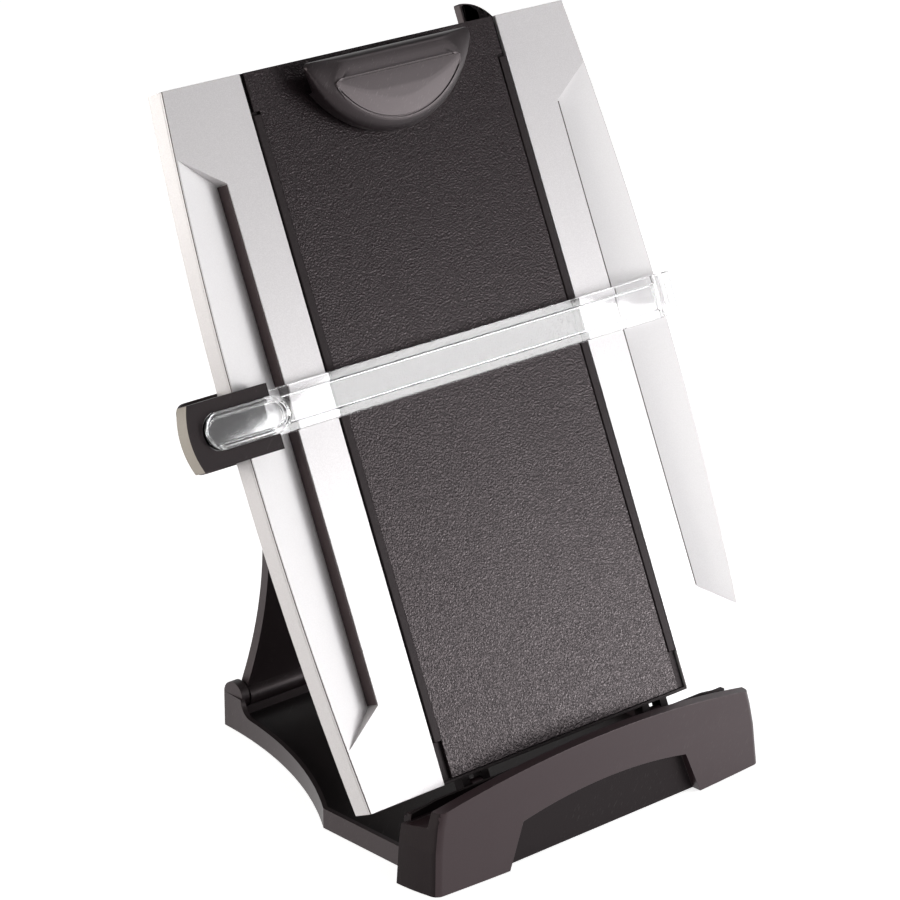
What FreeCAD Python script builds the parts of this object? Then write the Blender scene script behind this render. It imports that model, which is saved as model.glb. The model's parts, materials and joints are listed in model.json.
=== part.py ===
import FreeCAD, Part
import math
import os
import re
import Sketcher

# Copy holder with line guide: a leaning document panel in a weighted-looking base, held up by
# a rear strut, with a rocking paper clip, a sliding line guide and a slide-out memo board.
# Millimetres, +Z up, -Y towards the reader.  The origin lies on the ground, under the middle
# of the panel's bottom edge.  On the panel, "up" runs along its face and "out" is square to it.

SIZES = {
    # panel stance
    "lean_angle": 24.2,
    "panel_foot_height": 37.2,
    "panel_height": 311,
    "hinge_setback": 2,
    "hinge_height": 29.3,
    "hinge_pin_diameter": 3,
    "hinge_pin_length": 15.2,
    "hinge_spread": 54,
    # panel outline and build-up
    "panel_end_half": 114,
    "panel_edge_radius": 1425,
    "shell_depth": 11,
    "shell_wall": 2,
    "wing_skin": 2,
    "wing_core_depth": 8.6,
    "seam_gap": 0.1,
    "piece_gap": 0.3,
    "cut_over": 1,
    "centre_half": 73,
    "centre_sink": 1.5,
    "centre_lip": 1.3,
    "hinge_lug_radius": 2.9,
    "hinge_lug_width": 4.2,
    "hinge_ear_width": 6,
    "hinge_ear_radius": 4.2,
    "hinge_side_gap": 0.4,
    # sunken facet of each wing
    "facet_step_half": 95,
    "facet_depth": 7,
    "facet_low": 41.8,
    "facet_high": 267.8,
    "facet_apex_rise": 14.2,
    "facet_apex_inset": 0.4,
    "liner_thickness": 0.7,
    "liner_floor_gap": 0.35,
    "liner_sink": 0.2,
    # backing board and edge rails
    "board_half": 68,
    "board_thickness": 1.5,
    "board_foot": 1.6,
    "board_head_half": 71,
    "board_head_rise": 294,
    "rail_foot": 18.2,
    "rail_top": 292.6,
    "rail_width": 4,
    "rail_thickness": 2,
    "rail_gap": 0.2,
    # paper clip
    "clip_pin_rise": 293,
    "clip_pin_out": 5.5,
    "clip_pin_diameter": 2.5,
    "clip_pin_length": 41,
    "clip_tilt": 10.24,
    "clip_half": 47.5,
    "clip_radius": 49.1,
    "clip_top": 15.74,
    "clip_rim_out": 2.75,
    "clip_rim_thickness": 2,
    "clip_crown_height": 4.9,
    "clip_crown_inset": 8.5,
    "clip_crown_step": 0.4,
    "clip_crown_lap": 0.1,
    "clip_hollow_step": 0.5,
    "clip_wall": 2,
    "clip_skirt_top": 1.9,
    "clip_skirt_clearance": 1,
    "clip_jaw_grip": 3.4,
    "clip_jaw_top": -12,
    "clip_ear_inside": 14,
    "clip_ear_width": 2.5,
    "clip_ear_half": 3,
    "clip_knuckle_width": 3,
    "clip_side_gap": 0.5,
    "bracket_half": 20.5,
    "bracket_foot": 284,
    "bracket_top": 305,
    "bracket_thickness": 1.2,
    "spring_wire": 0.7,
    "spring_radius": 2.2,
    "spring_length": 15,
    "spring_leg": 7,
    "spring_turns": 6,
    # line guide
    "guide_low": 161.4,
    "guide_high": 181,
    "guide_rib": 4,
    "guide_back": 1.5,
    "guide_front": 6,
    "guide_web_back": 3,
    "guide_web_front": 4.2,
    "guide_left": 146,
    "guide_right": 116,
    "guide_fit": 0.2,
    "housing_low": 156,
    "housing_high": 184.2,
    "housing_right": 110,
    "housing_left": 152,
    "housing_bulge_radius": 34.6,
    "housing_back": 0.5,
    "housing_front": 7.5,
    "grip_left": 147.6,
    "grip_right": 103,
    "grip_middle": 170.6,
    "grip_radius": 7.85,
    "grip_front": 10,
    "grip_rim": 2.2,
    "grip_floor": 1,
    "clamp_left": 143,
    "clamp_cover_gap": 4,
    "clamp_low": 154.8,
    "clamp_high": 185.4,
    "clamp_corner": 5,
    "clamp_thickness": 2.4,
    "clamp_gap": 0.6,
    "clamp_edge_clearance": 2.2,
    "guide_screw_diameter": 2,
    "guide_screw_side": 134,
    "guide_screw_inset": 2,
    "guide_screw_top_inset": 1.4,
    "guide_screw_reach": 5,
    "guide_pad_length": 20,
    "guide_pad_width": 10,
    "hook_edge_clearance": 1.1,
    "hook_wall": 2.4,
    "hook_lip_reach": 112,
    "hook_lip_thickness": 2.4,
    # memo board behind the panel
    "memo_cover_gap": 16,
    "memo_foot": 104,
    "memo_top": 298,
    "memo_front": 14.4,
    "memo_thickness": 2.4,
    "carrier_rise": 5,
    "carrier_lap": 0.3,
    "tab_overhang": 2.5,
    "tab_width": 17.5,
    "tab_top": 320.4,
    "tab_radius": 22,
    "tab_front": 12,
    "tab_back": 16.5,
    "tab_rim": 1.2,
    "tab_dish": 3,
    "glide_length": 14,
    "glide_spread": 50,
    "track_end_gap": 11,
    "track_open_gap": 6,
    "track_upper_half": 50,
    "track_block": 7.6,
    "track_lip": 8,
    "track_clearance": 0.4,
    "cover_head_gap": 6.8,
    "cover_foot": 62,
    "cover_top": 309.4,
    "cover_front": 17.6,
    "cover_thickness": 2.2,
    "cover_wall": 2.4,
    # strut and its tracks
    "strut_pivot_setback": 163.5,
    "strut_pivot_height": 16.5,
    "strut_rod_diameter": 5,
    "strut_rod_rise": 228,
    "strut_rod_depth": 26,
    "strut_rod_half": 56,
    "strut_foot_half": 48.5,
    "strut_half": 45.5,
    "strut_waist_start": 7,
    "strut_waist_radius": 205,
    "strut_shoulder_half": 47.4,
    "strut_shoulder_rise": 80,
    "strut_thickness": 3.5,
    "strut_barrel_radius": 5.5,
    "strut_boss_radius": 4.5,
    "strut_flange_depth": 4.5,
    "strut_flange_width": 2.2,
    "rod_clearance": 0.05,
    "bush_radius": 4.2,
    "bush_width": 4,
    "strut_track_inside": 50,
    "strut_track_width": 3,
    "strut_track_end": 18,
    "strut_track_depth": 32,
    "strut_track_flange": 9,
    "strut_track_flange_thickness": 2.2,
    "slot_reach_down": 22,
    "slot_reach_up": 18,
    "slot_half_width": 3.3,
    "slot_offset": 0.35,
    # front moulding with the trough
    "base_bottom": 0.6,
    "front_foot_half": 100.5,
    "front_foot_end": 22.3,
    "front_knee_height": 20,
    "front_knee_half": 99,
    "front_knee_end": 21,
    "front_waist_height": 30,
    "front_waist_half": 97.2,
    "front_waist_end": 20.3,
    "front_top_height": 50,
    "front_top_half": 91.5,
    "front_top_end": 19.4,
    "front_corner": 4.5,
    "front_side_draw": 2.2,
    "front_side_radius": 85,
    "front_bow_radius": 1330,
    "front_rear": 6.2,
    "front_middle_half": 90.5,
    "lip_height": 46,
    "lip_end_drop": 9,
    "lip_end_half": 91,
    "lip_inner": 17.4,
    "trough_front_height": 29.7,
    "trough_slope_start": 13.1,
    "trough_rear_height": 26.7,
    "trough_cut_half": 120,
    "trough_rim_start": 82,
    "trough_rim_end": 94.5,
    "trough_rim_height": 31.6,
    "trough_rim_width": 2.5,
    "recess_foot_half": 57.8,
    "recess_top_half": 49,
    "recess_height": 20.7,
    "recess_bow": 5.1,
    "recess_back": 19.6,
    "cavity_half": 88,
    "cavity_front": 16.8,
    "cavity_rear": 3.6,
    "cavity_ceiling": 24,
    "hinge_well_floor": 25.2,
    "front_boss_radius": 3.6,
    # base tray
    "tray_front": 6.7,
    "tray_arm_half": 89.5,
    "tray_arm_rear": 60,
    "tray_sweep_radius": 220,
    "tray_rear_half": 54,
    "tray_rear": 171,
    "tray_wall": 2.5,
    "tray_floor": 2.4,
    "tray_side_height": 10,
    "tray_ear_radius": 6.5,
    "tray_ear_lift": 0.9,
    "tray_ear_width": 4.5,
    "tray_ear_skin": 1.2,
    "tray_rear_wall_height": 9,
    "tongue_half": 84,
    "tongue_front": 13,
    "grip_strip_length": 110,
    "grip_strip_width": 14,
    "rubber_thickness": 1.6,
    "rubber_gap": 0.2,
    "foot_diameter": 10,
    "front_foot_side": 77,
    "rear_foot_side": 44,
    "rear_foot_setback": 150,
    # screws
    "screw_diameter": 3,
    "screw_clearance": 0.1,
    "screw_head_diameter": 5.6,
    "screw_head_height": 1.3,
    "base_screw_length": 10,
    "base_screw_side": 66,
    "base_screw_inner_side": 24,
    "base_screw_setback": 10,
    "panel_screw_low": 20,
    "panel_screw_high": 292,
    "panel_screw_length": 6,
    "panel_boss_radius": 3.5,
    "cover_screw_inset": 15,
    "cover_screw_upper_inset": 10,
    "cover_screw_drop": 2.5,
}

ORIGIN = FreeCAD.Vector(0, 0, 0)
X_AXIS = FreeCAD.Vector(1, 0, 0)
Z_AXIS = FreeCAD.Vector(0, 0, 1)
SIDES = {"left": -1, "right": 1}

# Panel points seen from the base, and base points seen from the panel.
PANEL_TURN = "90 - lean_angle"
HINGE_UP = "(hinge_setback * sin(lean_angle) + (hinge_height - panel_foot_height) * cos(lean_angle))"
HINGE_OUT = "((hinge_height - panel_foot_height) * sin(lean_angle) - hinge_setback * cos(lean_angle))"
ROD_SETBACK = "(strut_rod_rise * sin(lean_angle) + strut_rod_depth * cos(lean_angle))"
ROD_HEIGHT = ("(panel_foot_height + strut_rod_rise * cos(lean_angle)"
              " - strut_rod_depth * sin(lean_angle))")
STRUT_RUN = f"(strut_pivot_setback - {ROD_SETBACK})"
STRUT_RISE = f"({ROD_HEIGHT} - strut_pivot_height)"
STRUT_LENGTH = f"sqrt({STRUT_RUN} ^ 2 + {STRUT_RISE} ^ 2)"
# The wing screws sit in the middle of the flat beside the facet, and the cover goes round them.
PANEL_SCREW_SIDE = "((centre_half + facet_step_half) / 2)"
COVER_HALF = f"({PANEL_SCREW_SIDE} + screw_head_diameter / 2 + cover_head_gap + cover_wall)"
MEMO_HALF = f"({COVER_HALF} - memo_cover_gap)"
TRACK_LEFT = f"({COVER_HALF} - track_end_gap)"

document = FreeCAD.newDocument("CopyHolder")
sheet = document.addObject("Spreadsheet::Sheet", "Sizes")
for row, (alias, size) in enumerate(SIZES.items(), start=1):
    sheet.set(f"A{row}", str(size))
    sheet.setAlias(f"A{row}", alias)
document.recompute()

pieces = {}


# --- document helpers -------------------------------------------------------------------------

def sized(expression):
    """Point every size name of an expression at the sheet."""
    return re.sub(r"\b[a-z]+(?:_[a-z]+)+\b", lambda found: "Sizes." + found.group(), str(expression))


def number(expression):
    """The value that an expression has now."""
    value = sheet.evalExpression(str(expression))
    return float(getattr(value, "Value", value))


def bind(item, **properties):
    """Bind properties of an object to expressions of the sheet."""
    for name, expression in properties.items():
        item.setExpression(name.replace("__", "."), sized(expression))


def place(item, turn="0", across="0", setback="0", height="0"):
    """Turn an object about the X axis and move it, all by expressions."""
    item.Placement = FreeCAD.Placement(ORIGIN, FreeCAD.Rotation(X_AXIS, number(turn)))
    bind(item, Placement__Rotation__Angle=turn, Placement__Base__x=across,
         Placement__Base__y=setback, Placement__Base__z=height)


def place_on_panel(item):
    """Stand an object on the panel: its Y runs up the panel and its Z out of the face."""
    place(item, turn=PANEL_TURN, height="panel_foot_height")


def keep(label, item):
    """Register a finished sub-part under the label that names its file."""
    item.Label = label
    pieces[label] = item
    return item


def new_body(label, placer=None):
    """A body of its own for one sub-part."""
    body = document.addObject("PartDesign::Body", label)
    keep(label, body)
    if placer is not None:
        placer(body)
    return body


def arc_between(start, end, radius, turn):
    """The short arc from start to end; it bulges out of an outline that runs the turn way."""
    chord = math.dist(start, end)
    radius = max(abs(radius), chord / 2) * math.copysign(1, radius)
    back = math.sqrt(max(radius * radius - chord * chord / 4, 0)) * math.copysign(1, radius) * turn
    along = ((end[0] - start[0]) / chord, (end[1] - start[1]) / chord)
    centre = ((start[0] + end[0]) / 2 - along[1] * back, (start[1] + end[1]) / 2 + along[0] * back)
    first, second = (start, end) if (radius > 0) == (turn > 0) else (end, start)
    angles = [math.atan2(point[1] - centre[1], point[0] - centre[0]) for point in (first, second)]
    circle = Part.Circle(FreeCAD.Vector(centre[0], centre[1], 0), Z_AXIS, abs(radius))
    return Part.ArcOfCircle(circle, angles[0], angles[1]), first == start


def sketch(body, name, plane, corners=(), offset="0", circles=()):
    """A sketch on an origin plane of the body, every point tied to the sheet.

    A corner is (x, y), or (x, y, radius) where an arc runs to the next corner: a plain radius
    bulges out of the outline and one that starts with "-" bulges into it.  A circle is
    (x, y, radius).
    """
    drawing = body.newObject("Sketcher::SketchObject", name)
    support = next(item for item in body.Origin.OriginFeatures if item.Role == plane)
    drawing.AttachmentSupport = [(support, "")]
    drawing.MapMode = "FlatFace"
    bind(drawing, AttachmentOffset__Base__z=offset)
    points = [(number(corner[0]), number(corner[1])) for corner in corners]
    area = sum(a[0] * b[1] - b[0] * a[1] for a, b in zip(points, points[1:] + points[:1]))
    turn = math.copysign(1, area)
    ends = []
    for index, corner in enumerate(corners):
        start, end = points[index], points[(index + 1) % len(points)]
        if len(corner) == 3:
            shape, forward = arc_between(start, end, number(corner[2]), turn)
            edge = drawing.addGeometry(shape, False)
            ends.append((edge, 1, 2) if forward else (edge, 2, 1))
            rule = drawing.addConstraint(Sketcher.Constraint("Radius", edge, shape.Radius))
            drawing.setExpression(f"Constraints[{rule}]", sized(corner[2].lstrip("-")))
        else:
            line = Part.LineSegment(FreeCAD.Vector(*start, 0), FreeCAD.Vector(*end, 0))
            ends.append((drawing.addGeometry(line, False), 1, 2))
    for index, (edge, first, _) in enumerate(ends):
        before, _, last = ends[index - 1]
        drawing.addConstraint(Sketcher.Constraint("Coincident", before, last, edge, first))
        fix_point(drawing, edge, first, corners[index], points[index])
    for across, along, radius in circles:
        centre = (number(across), number(along))
        circle = Part.Circle(FreeCAD.Vector(*centre, 0), Z_AXIS, number(radius))
        edge = drawing.addGeometry(circle, False)
        fix_point(drawing, edge, 3, (across, along), centre)
        rule = drawing.addConstraint(Sketcher.Constraint("Radius", edge, number(radius)))
        drawing.setExpression(f"Constraints[{rule}]", sized(radius))
    drawing.Visibility = False
    return drawing


def fix_point(drawing, edge, end, expressions, values):
    """Tie one point of a sketch to the sheet, both ways from the sketch's origin."""
    for kind, expression, value in zip(("DistanceX", "DistanceY"), expressions, values):
        rule = drawing.addConstraint(Sketcher.Constraint(kind, -1, 1, edge, end, value))
        drawing.setExpression(f"Constraints[{rule}]", sized(expression))


def pad(body, name, plane, corners=(), offset="0", depth="1", circles=()):
    """Add a prism that grows from the sketch along the plane's normal."""
    feature = body.newObject("PartDesign::Pad", name)
    feature.Profile = sketch(body, name + "_sketch", plane, corners, offset, circles)
    bind(feature, Length=depth)
    return feature


def pocket(body, name, plane, corners=(), offset="0", depth="1", circles=()):
    """Cut a prism that runs from the sketch against the plane's normal."""
    feature = body.newObject("PartDesign::Pocket", name)
    feature.Profile = sketch(body, name + "_sketch", plane, corners, offset, circles)
    bind(feature, Length=depth)
    return feature


def loft(body, name, sections, additive=True):
    """Add or cut a ruled loft; each section is (corners, offset) on the XY plane."""
    kind = "PartDesign::AdditiveLoft" if additive else "PartDesign::SubtractiveLoft"
    feature = body.newObject(kind, name)
    drawings = [sketch(body, f"{name}_sketch", "XY_Plane", corners, offset)
                for corners, offset in sections]
    feature.Profile = drawings[0]
    feature.Sections = drawings[1:]
    feature.Ruled = True
    return feature


def box_corners(left, low, right, high):
    """The four corners of an upright rectangle."""
    return [(left, low), (right, low), (right, high), (left, high)]


def mirrored_corners(half, low, high):
    """A rectangle centred on the middle plane."""
    return box_corners(f"-({half})", low, half, high)


def stadium_corners(left, right, middle, radius):
    """A slot outline with round ends; left and right are its outermost points."""
    return [(f"{left} + {radius}", f"{middle} - {radius}"),
            (f"{right} - {radius}", f"{middle} - {radius}", radius),
            (right, middle, radius),
            (f"{right} - {radius}", f"{middle} + {radius}"),
            (f"{left} + {radius}", f"{middle} + {radius}", radius),
            (left, middle, radius)]


def cylinder(name, radius, length, across="0", setback="0", height="0", along_x=False):
    """A round bar that grows from its place along +X, or along +Z."""
    bar = document.addObject("Part::Cylinder", name)
    bind(bar, Radius=radius, Height=length)
    if along_x:
        bar.Placement = FreeCAD.Placement(ORIGIN, FreeCAD.Rotation(FreeCAD.Vector(0, 1, 0), 90))
    bind(bar, Placement__Base__x=across, Placement__Base__y=setback, Placement__Base__z=height)
    return bar


def group(label, members, placer=None):
    """Several separate solids that share one node."""
    item = document.addObject("Part::Compound", label)
    item.Links = members
    keep(label, item)
    if placer is not None:
        placer(item)
    return item


def fused(name, members):
    """Several solids joined into one."""
    item = document.addObject("Part::MultiFuse", name)
    item.Shapes = members
    item.Refine = True
    return item


# --- panel --------------------------------------------------------------------------------------

PANEL_MIDDLE = "(panel_height / 2)"
EDGE_CENTRE = (f"(panel_end_half - sqrt(panel_edge_radius ^ 2 - {PANEL_MIDDLE} ^ 2))")
COVER_SCREW_SIDE = f"({TRACK_LEFT} - cover_screw_inset)"
COVER_SCREW_LOW = "(memo_foot - track_clearance - track_block / 2)"
COVER_SCREW_HIGH = "(cover_top - cover_screw_drop)"
COVER_SCREWS = [(f"-{COVER_SCREW_SIDE}", COVER_SCREW_LOW), (COVER_SCREW_SIDE, COVER_SCREW_LOW),
                (f"-{COVER_SCREW_SIDE}", COVER_SCREW_HIGH),
                ("(track_upper_half - cover_screw_upper_inset)", COVER_SCREW_HIGH)]
PANEL_SCREWS = [(f"{side} * {PANEL_SCREW_SIDE}", rise)
                for side in SIDES.values() for rise in ("panel_screw_low", "panel_screw_high")]


def edge_half(rise):
    """Half the panel's width at a height up the panel."""
    return f"({EDGE_CENTRE} + sqrt(panel_edge_radius ^ 2 - ({rise} - {PANEL_MIDDLE}) ^ 2))"


def panel_outline(inset="0"):
    """The whole panel outline with both bowed edges, moved in by an inset."""
    low = f"({inset})"
    high = f"(panel_height - ({inset}))"
    foot = f"({edge_half(low)} - ({inset}))"
    top = f"({edge_half(high)} - ({inset}))"
    bow = f"panel_edge_radius - ({inset})"
    return [(f"-{foot}", low), (foot, low, bow), (top, high), (f"-{top}", high, bow)]


def wing_outline(side, inset, inner):
    """One wing's outline: straight inner edge, bowed outer edge."""
    low = f"({inset})"
    high = f"(panel_height - ({inset}))"
    foot = f"{side} * ({edge_half(low)} - ({inset}))"
    top = f"{side} * ({edge_half(high)} - ({inset}))"
    bow = f"panel_edge_radius - ({inset})"
    inside = f"{side} * ({inner})"
    return [(inside, low), (foot, low, bow), (top, high), (inside, high)]


def hinge_lugs():
    """The name and the left side of each of the four hinge lugs."""
    reach = "(hinge_ear_width / 2 + hinge_side_gap)"
    for side, sign in SIDES.items():
        yield f"{side}_inner_lug", f"{sign} * hinge_spread - {reach} - hinge_lug_width"
        yield f"{side}_outer_lug", f"{sign} * hinge_spread + {reach}"


def rear_shell():
    """The silver tray that carries everything on the panel, notched for the hinge lugs."""
    body = new_body("rear_shell", place_on_panel)
    pad(body, "shell_block", "XY_Plane", panel_outline(), offset="-shell_depth",
        depth="shell_depth - wing_skin - seam_gap")
    pocket(body, "shell_hollow", "XY_Plane", panel_outline("shell_wall"), depth="shell_depth - shell_wall")
    for name, left in hinge_lugs():
        notch = box_corners(f"{left} - piece_gap", "-cut_over",
                            f"{left} + hinge_lug_width + piece_gap", "shell_wall + cut_over")
        pocket(body, f"{name}_notch", "XY_Plane", notch,
               depth=f"hinge_lug_radius + piece_gap - {HINGE_OUT}")
    holes = [(across, rise, "screw_diameter / 2 + screw_clearance")
             for across, rise in COVER_SCREWS + PANEL_SCREWS]
    pocket(body, "screw_holes", "XY_Plane", depth="shell_depth", circles=holes)


def wing(side, sign):
    """A wing skin with a sunken facet whose floor rises to the bowed outer edge."""
    body = document.addObject("PartDesign::Body", f"{side}_wing_block")
    pad(body, "skin", "XY_Plane", wing_outline(sign, "0", "centre_half"), offset="-wing_skin",
        depth="wing_skin")
    core_inset = "shell_wall + piece_gap"
    pad(body, "core", "XY_Plane", wing_outline(sign, core_inset, "centre_half"),
        offset="-wing_core_depth", depth="wing_core_depth - wing_skin / 2")
    hollow = box_corners(f"{sign} * (centre_half + wing_skin)", "2 * shell_wall + wing_skin",
                         f"{sign} * (facet_step_half - wing_skin)",
                         "panel_height - 2 * shell_wall - wing_skin")
    pocket(body, "back_hollow", "XY_Plane", hollow, offset="-wing_skin",
           depth="wing_core_depth")
    bosses = [(across, rise, "panel_boss_radius") for across, rise in PANEL_SCREWS
              if across.startswith(f"{sign} ")]
    pad(body, "screw_bosses", "XY_Plane", offset="-wing_core_depth",
        depth="wing_core_depth - wing_skin / 2", circles=bosses)
    pilots = [(across, rise, "screw_diameter / 2") for across, rise, _ in bosses]
    pocket(body, "screw_pilots", "XY_Plane", offset="-wing_skin - seam_gap", depth="wing_core_depth",
           circles=pilots)
    facet = document.addObject("Part::Feature", f"{side}_wing_facet")
    facet.Shape = facet_cut(sign)
    item = document.addObject("Part::Cut", f"{side}_wing")
    item.Base = body
    item.Tool = facet
    keep(f"{side}_wing", item)
    place_on_panel(item)


def step_liner(side, sign):
    """A dark strip along the step wall of a wing's facet."""
    body = new_body(f"{side}_step_liner", place_on_panel)
    near = f"{sign} * (facet_step_half + seam_gap)"
    far = f"{sign} * (facet_step_half + seam_gap + liner_thickness)"
    pad(body, "strip", "XY_Plane",
        box_corners(near, "facet_low + piece_gap", far, "facet_high - piece_gap"),
        offset="liner_floor_gap - facet_depth", depth="facet_depth - liner_floor_gap - liner_sink")


def facet_cut(sign):
    """The space of a sunken facet: a step wall, a rising floor and two slanted end walls."""
    step = number("facet_step_half")
    depth = number("facet_depth")
    over = number("cut_over")
    low_apex = "(facet_low - facet_apex_rise)"
    high_apex = "(facet_high + facet_apex_rise)"
    stations = [("facet_low", low_apex), (PANEL_MIDDLE, PANEL_MIDDLE), ("facet_high", high_apex)]
    sections = []
    for foot, apex in stations:
        rise = number(foot)
        reach = number(f"{edge_half(apex)} - facet_apex_inset") - step
        slant = number(f"({apex}) - ({foot})")
        grow = (depth + over) / depth
        corners = [(step, rise, -depth), (step, rise, over),
                   (step + reach * grow, rise + slant * grow, over)]
        points = [FreeCAD.Vector(sign * across, up, out) for across, up, out in corners]
        sections.append(Part.makePolygon(points + points[:1]))
    return Part.makeLoft(sections, True, False)


def centre_frame():
    """The black frame between the wings, open at the back, with four hinge lugs below."""
    body = new_body("centre_frame", place_on_panel)
    half = "centre_half - piece_gap"
    inset = "(shell_wall + piece_gap)"
    pad(body, "face", "XY_Plane", mirrored_corners(half, "0", "panel_height"), offset="-wing_skin",
        depth="wing_skin - centre_sink")
    pad(body, "core", "XY_Plane", mirrored_corners(half, inset, f"panel_height - {inset}"),
        offset="-wing_core_depth", depth="wing_core_depth - centre_sink")
    pocket(body, "back_hollow", "XY_Plane",
           mirrored_corners(f"{half} - shell_wall", f"2 * {inset}", f"panel_height - 2 * {inset}"),
           offset="-centre_sink - shell_wall", depth="wing_core_depth")
    pad(body, "foot_lip", "XY_Plane", mirrored_corners(half, "0", "centre_lip"),
        offset="-centre_sink", depth="centre_sink - seam_gap")
    root = f"1.5 * {inset}"
    lug = [(root, f"{HINGE_OUT} - hinge_lug_radius"), (root, f"{HINGE_OUT} + hinge_lug_radius"),
           (HINGE_UP, f"{HINGE_OUT} + hinge_lug_radius", "hinge_lug_radius"),
           (f"{HINGE_UP} - hinge_lug_radius", HINGE_OUT, "hinge_lug_radius"),
           (HINGE_UP, f"{HINGE_OUT} - hinge_lug_radius")]
    for name, left in hinge_lugs():
        pad(body, name, "YZ_Plane", lug, offset=left, depth="hinge_lug_width")
    pocket(body, "hinge_bore", "YZ_Plane", offset="panel_end_half", depth="2 * panel_end_half",
           circles=[(HINGE_UP, HINGE_OUT, "hinge_pin_diameter / 2 + rod_clearance")])


def backing_board():
    """The textured board that the page lies on, wider behind the clip."""
    body = new_body("backing_board", place_on_panel)
    corners = [("-board_half", "board_foot"), ("board_half", "board_foot"),
               ("board_half", "board_head_rise"), ("board_head_half", "board_head_rise"),
               ("board_head_half", "panel_height"), ("-board_head_half", "panel_height"),
               ("-board_head_half", "board_head_rise"), ("-board_half", "board_head_rise")]
    pad(body, "board", "XY_Plane", corners, offset="-centre_sink", depth="board_thickness")


def edge_rail(side, sign):
    """A smooth rail along one side of the board."""
    body = new_body(f"{side}_rail", place_on_panel)
    near = f"{sign} * (board_half + rail_gap)"
    far = f"{sign} * (board_half + rail_gap + rail_width)"
    pad(body, "rail", "XY_Plane", box_corners(near, "rail_foot", far, "rail_top"),
        offset="-centre_sink", depth="rail_thickness")


def clip_bracket():
    """Two ears on a plate that carry the clip's pin."""
    body = new_body("clip_bracket", place_on_panel)
    plate_out = "board_thickness - centre_sink"
    pad(body, "plate", "XY_Plane", mirrored_corners("bracket_half", "bracket_foot", "bracket_top"),
        offset=plate_out, depth="bracket_thickness")
    ear = [("clip_pin_rise - clip_ear_half", f"{plate_out}"),
           ("clip_pin_rise + clip_ear_half", f"{plate_out}"),
           ("clip_pin_rise + clip_ear_half", "clip_pin_out", "clip_ear_half"),
           ("clip_pin_rise", "clip_pin_out + clip_ear_half", "clip_ear_half"),
           ("clip_pin_rise - clip_ear_half", "clip_pin_out")]
    pad(body, "left_ear", "YZ_Plane", ear, offset="-clip_ear_inside - clip_ear_width",
        depth="clip_ear_width")
    pad(body, "right_ear", "YZ_Plane", ear, offset="clip_ear_inside", depth="clip_ear_width")
    pocket(body, "pin_bore", "YZ_Plane", offset="bracket_half", depth="2 * bracket_half",
           circles=[("clip_pin_rise", "clip_pin_out", "clip_pin_diameter / 2 + rod_clearance")])


def clip_pin():
    """The pin that the clip rocks on."""
    bar = cylinder("clip_pin_bar", "clip_pin_diameter / 2", "clip_pin_length",
                   "-clip_pin_length / 2", "clip_pin_rise", "clip_pin_out", along_x=True)
    group("clip_pin", [bar], place_on_panel)


def clip_spring():
    """A torsion spring round the pin: one leg on the bracket, one under the clip."""
    wire = number("spring_wire")
    radius = number("spring_radius")
    length = number("spring_length")
    turns = number("spring_turns")
    helix = Part.makeHelix(length / turns, length, radius)
    start = FreeCAD.Vector(radius, 0, 0)
    profile = Part.Wire(Part.makeCircle(wire / 2, start, FreeCAD.Vector(0, 1, 0)))
    coil = Part.Wire(helix).makePipeShell([profile], True, True)
    leg_reach = number("spring_leg")
    low_leg = Part.makeCylinder(wire / 2, leg_reach, start, FreeCAD.Vector(0, -1, 0))
    top = FreeCAD.Vector(radius, 0, length)
    high_leg = Part.makeCylinder(wire / 2, leg_reach, top, FreeCAD.Vector(0, 1, 0))
    spring = coil.fuse([low_leg, high_leg])
    turn = FreeCAD.Rotation(FreeCAD.Vector(0, 1, 0), 90)
    centre = FreeCAD.Vector(-length / 2, number("clip_pin_rise"), number("clip_pin_out"))
    spring.Placement = FreeCAD.Placement(centre, turn)
    item = document.addObject("Part::Feature", "clip_spring")
    item.Shape = Part.makeCompound(spring.Solids)
    keep("clip_spring", item)
    place_on_panel(item)


def memo_track(label, low, high, lip_low, lip_high, right):
    """One of the two runners that hold the memo board between the shell and the cover."""
    body = new_body(label, place_on_panel)
    back = "-cover_front + seam_gap / 2"
    front = "-shell_depth - seam_gap / 2"
    block_far, lip_edge = (low, lip_high) if lip_low == low else (high, lip_low)
    block_near = high if lip_low == low else low
    profile = [(block_far, back), (block_near, back), (block_near, "-memo_front + track_clearance"),
               (lip_edge, "-memo_front + track_clearance"), (lip_edge, front), (block_far, front)]
    pad(body, "runner", "YZ_Plane", profile, offset=f"-{TRACK_LEFT}", depth=f"{TRACK_LEFT} + {right}")
    holes = [(across, rise, "screw_diameter / 2 + screw_clearance") for across, rise in COVER_SCREWS]
    lower = label.endswith("lower")
    own = holes[:2] if lower else holes[2:]
    pocket(body, "screw_holes", "XY_Plane", depth="cover_front", circles=own)


def rear_cover():
    """The back cover behind the memo board, open on the right where the board slides out."""
    body = new_body("rear_cover", place_on_panel)
    pad(body, "sheet", "XY_Plane", mirrored_corners(COVER_HALF, "cover_foot", "cover_top"),
        offset="-cover_front - cover_thickness", depth="cover_thickness")
    pad(body, "left_wall", "XY_Plane",
        box_corners(f"-{COVER_HALF}", "cover_foot", f"-{COVER_HALF} + cover_wall", "cover_top"),
        offset="-cover_front", depth="cover_front - shell_depth - seam_gap")
    pad(body, "foot_wall", "XY_Plane",
        mirrored_corners(COVER_HALF, "cover_foot", "cover_foot + cover_wall"),
        offset="-cover_front", depth="cover_front - shell_depth - seam_gap")
    holes = [(across, rise, "screw_diameter / 2 + screw_clearance") for across, rise in COVER_SCREWS]
    pocket(body, "screw_holes", "XY_Plane", depth="2 * cover_front", circles=holes)


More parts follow.
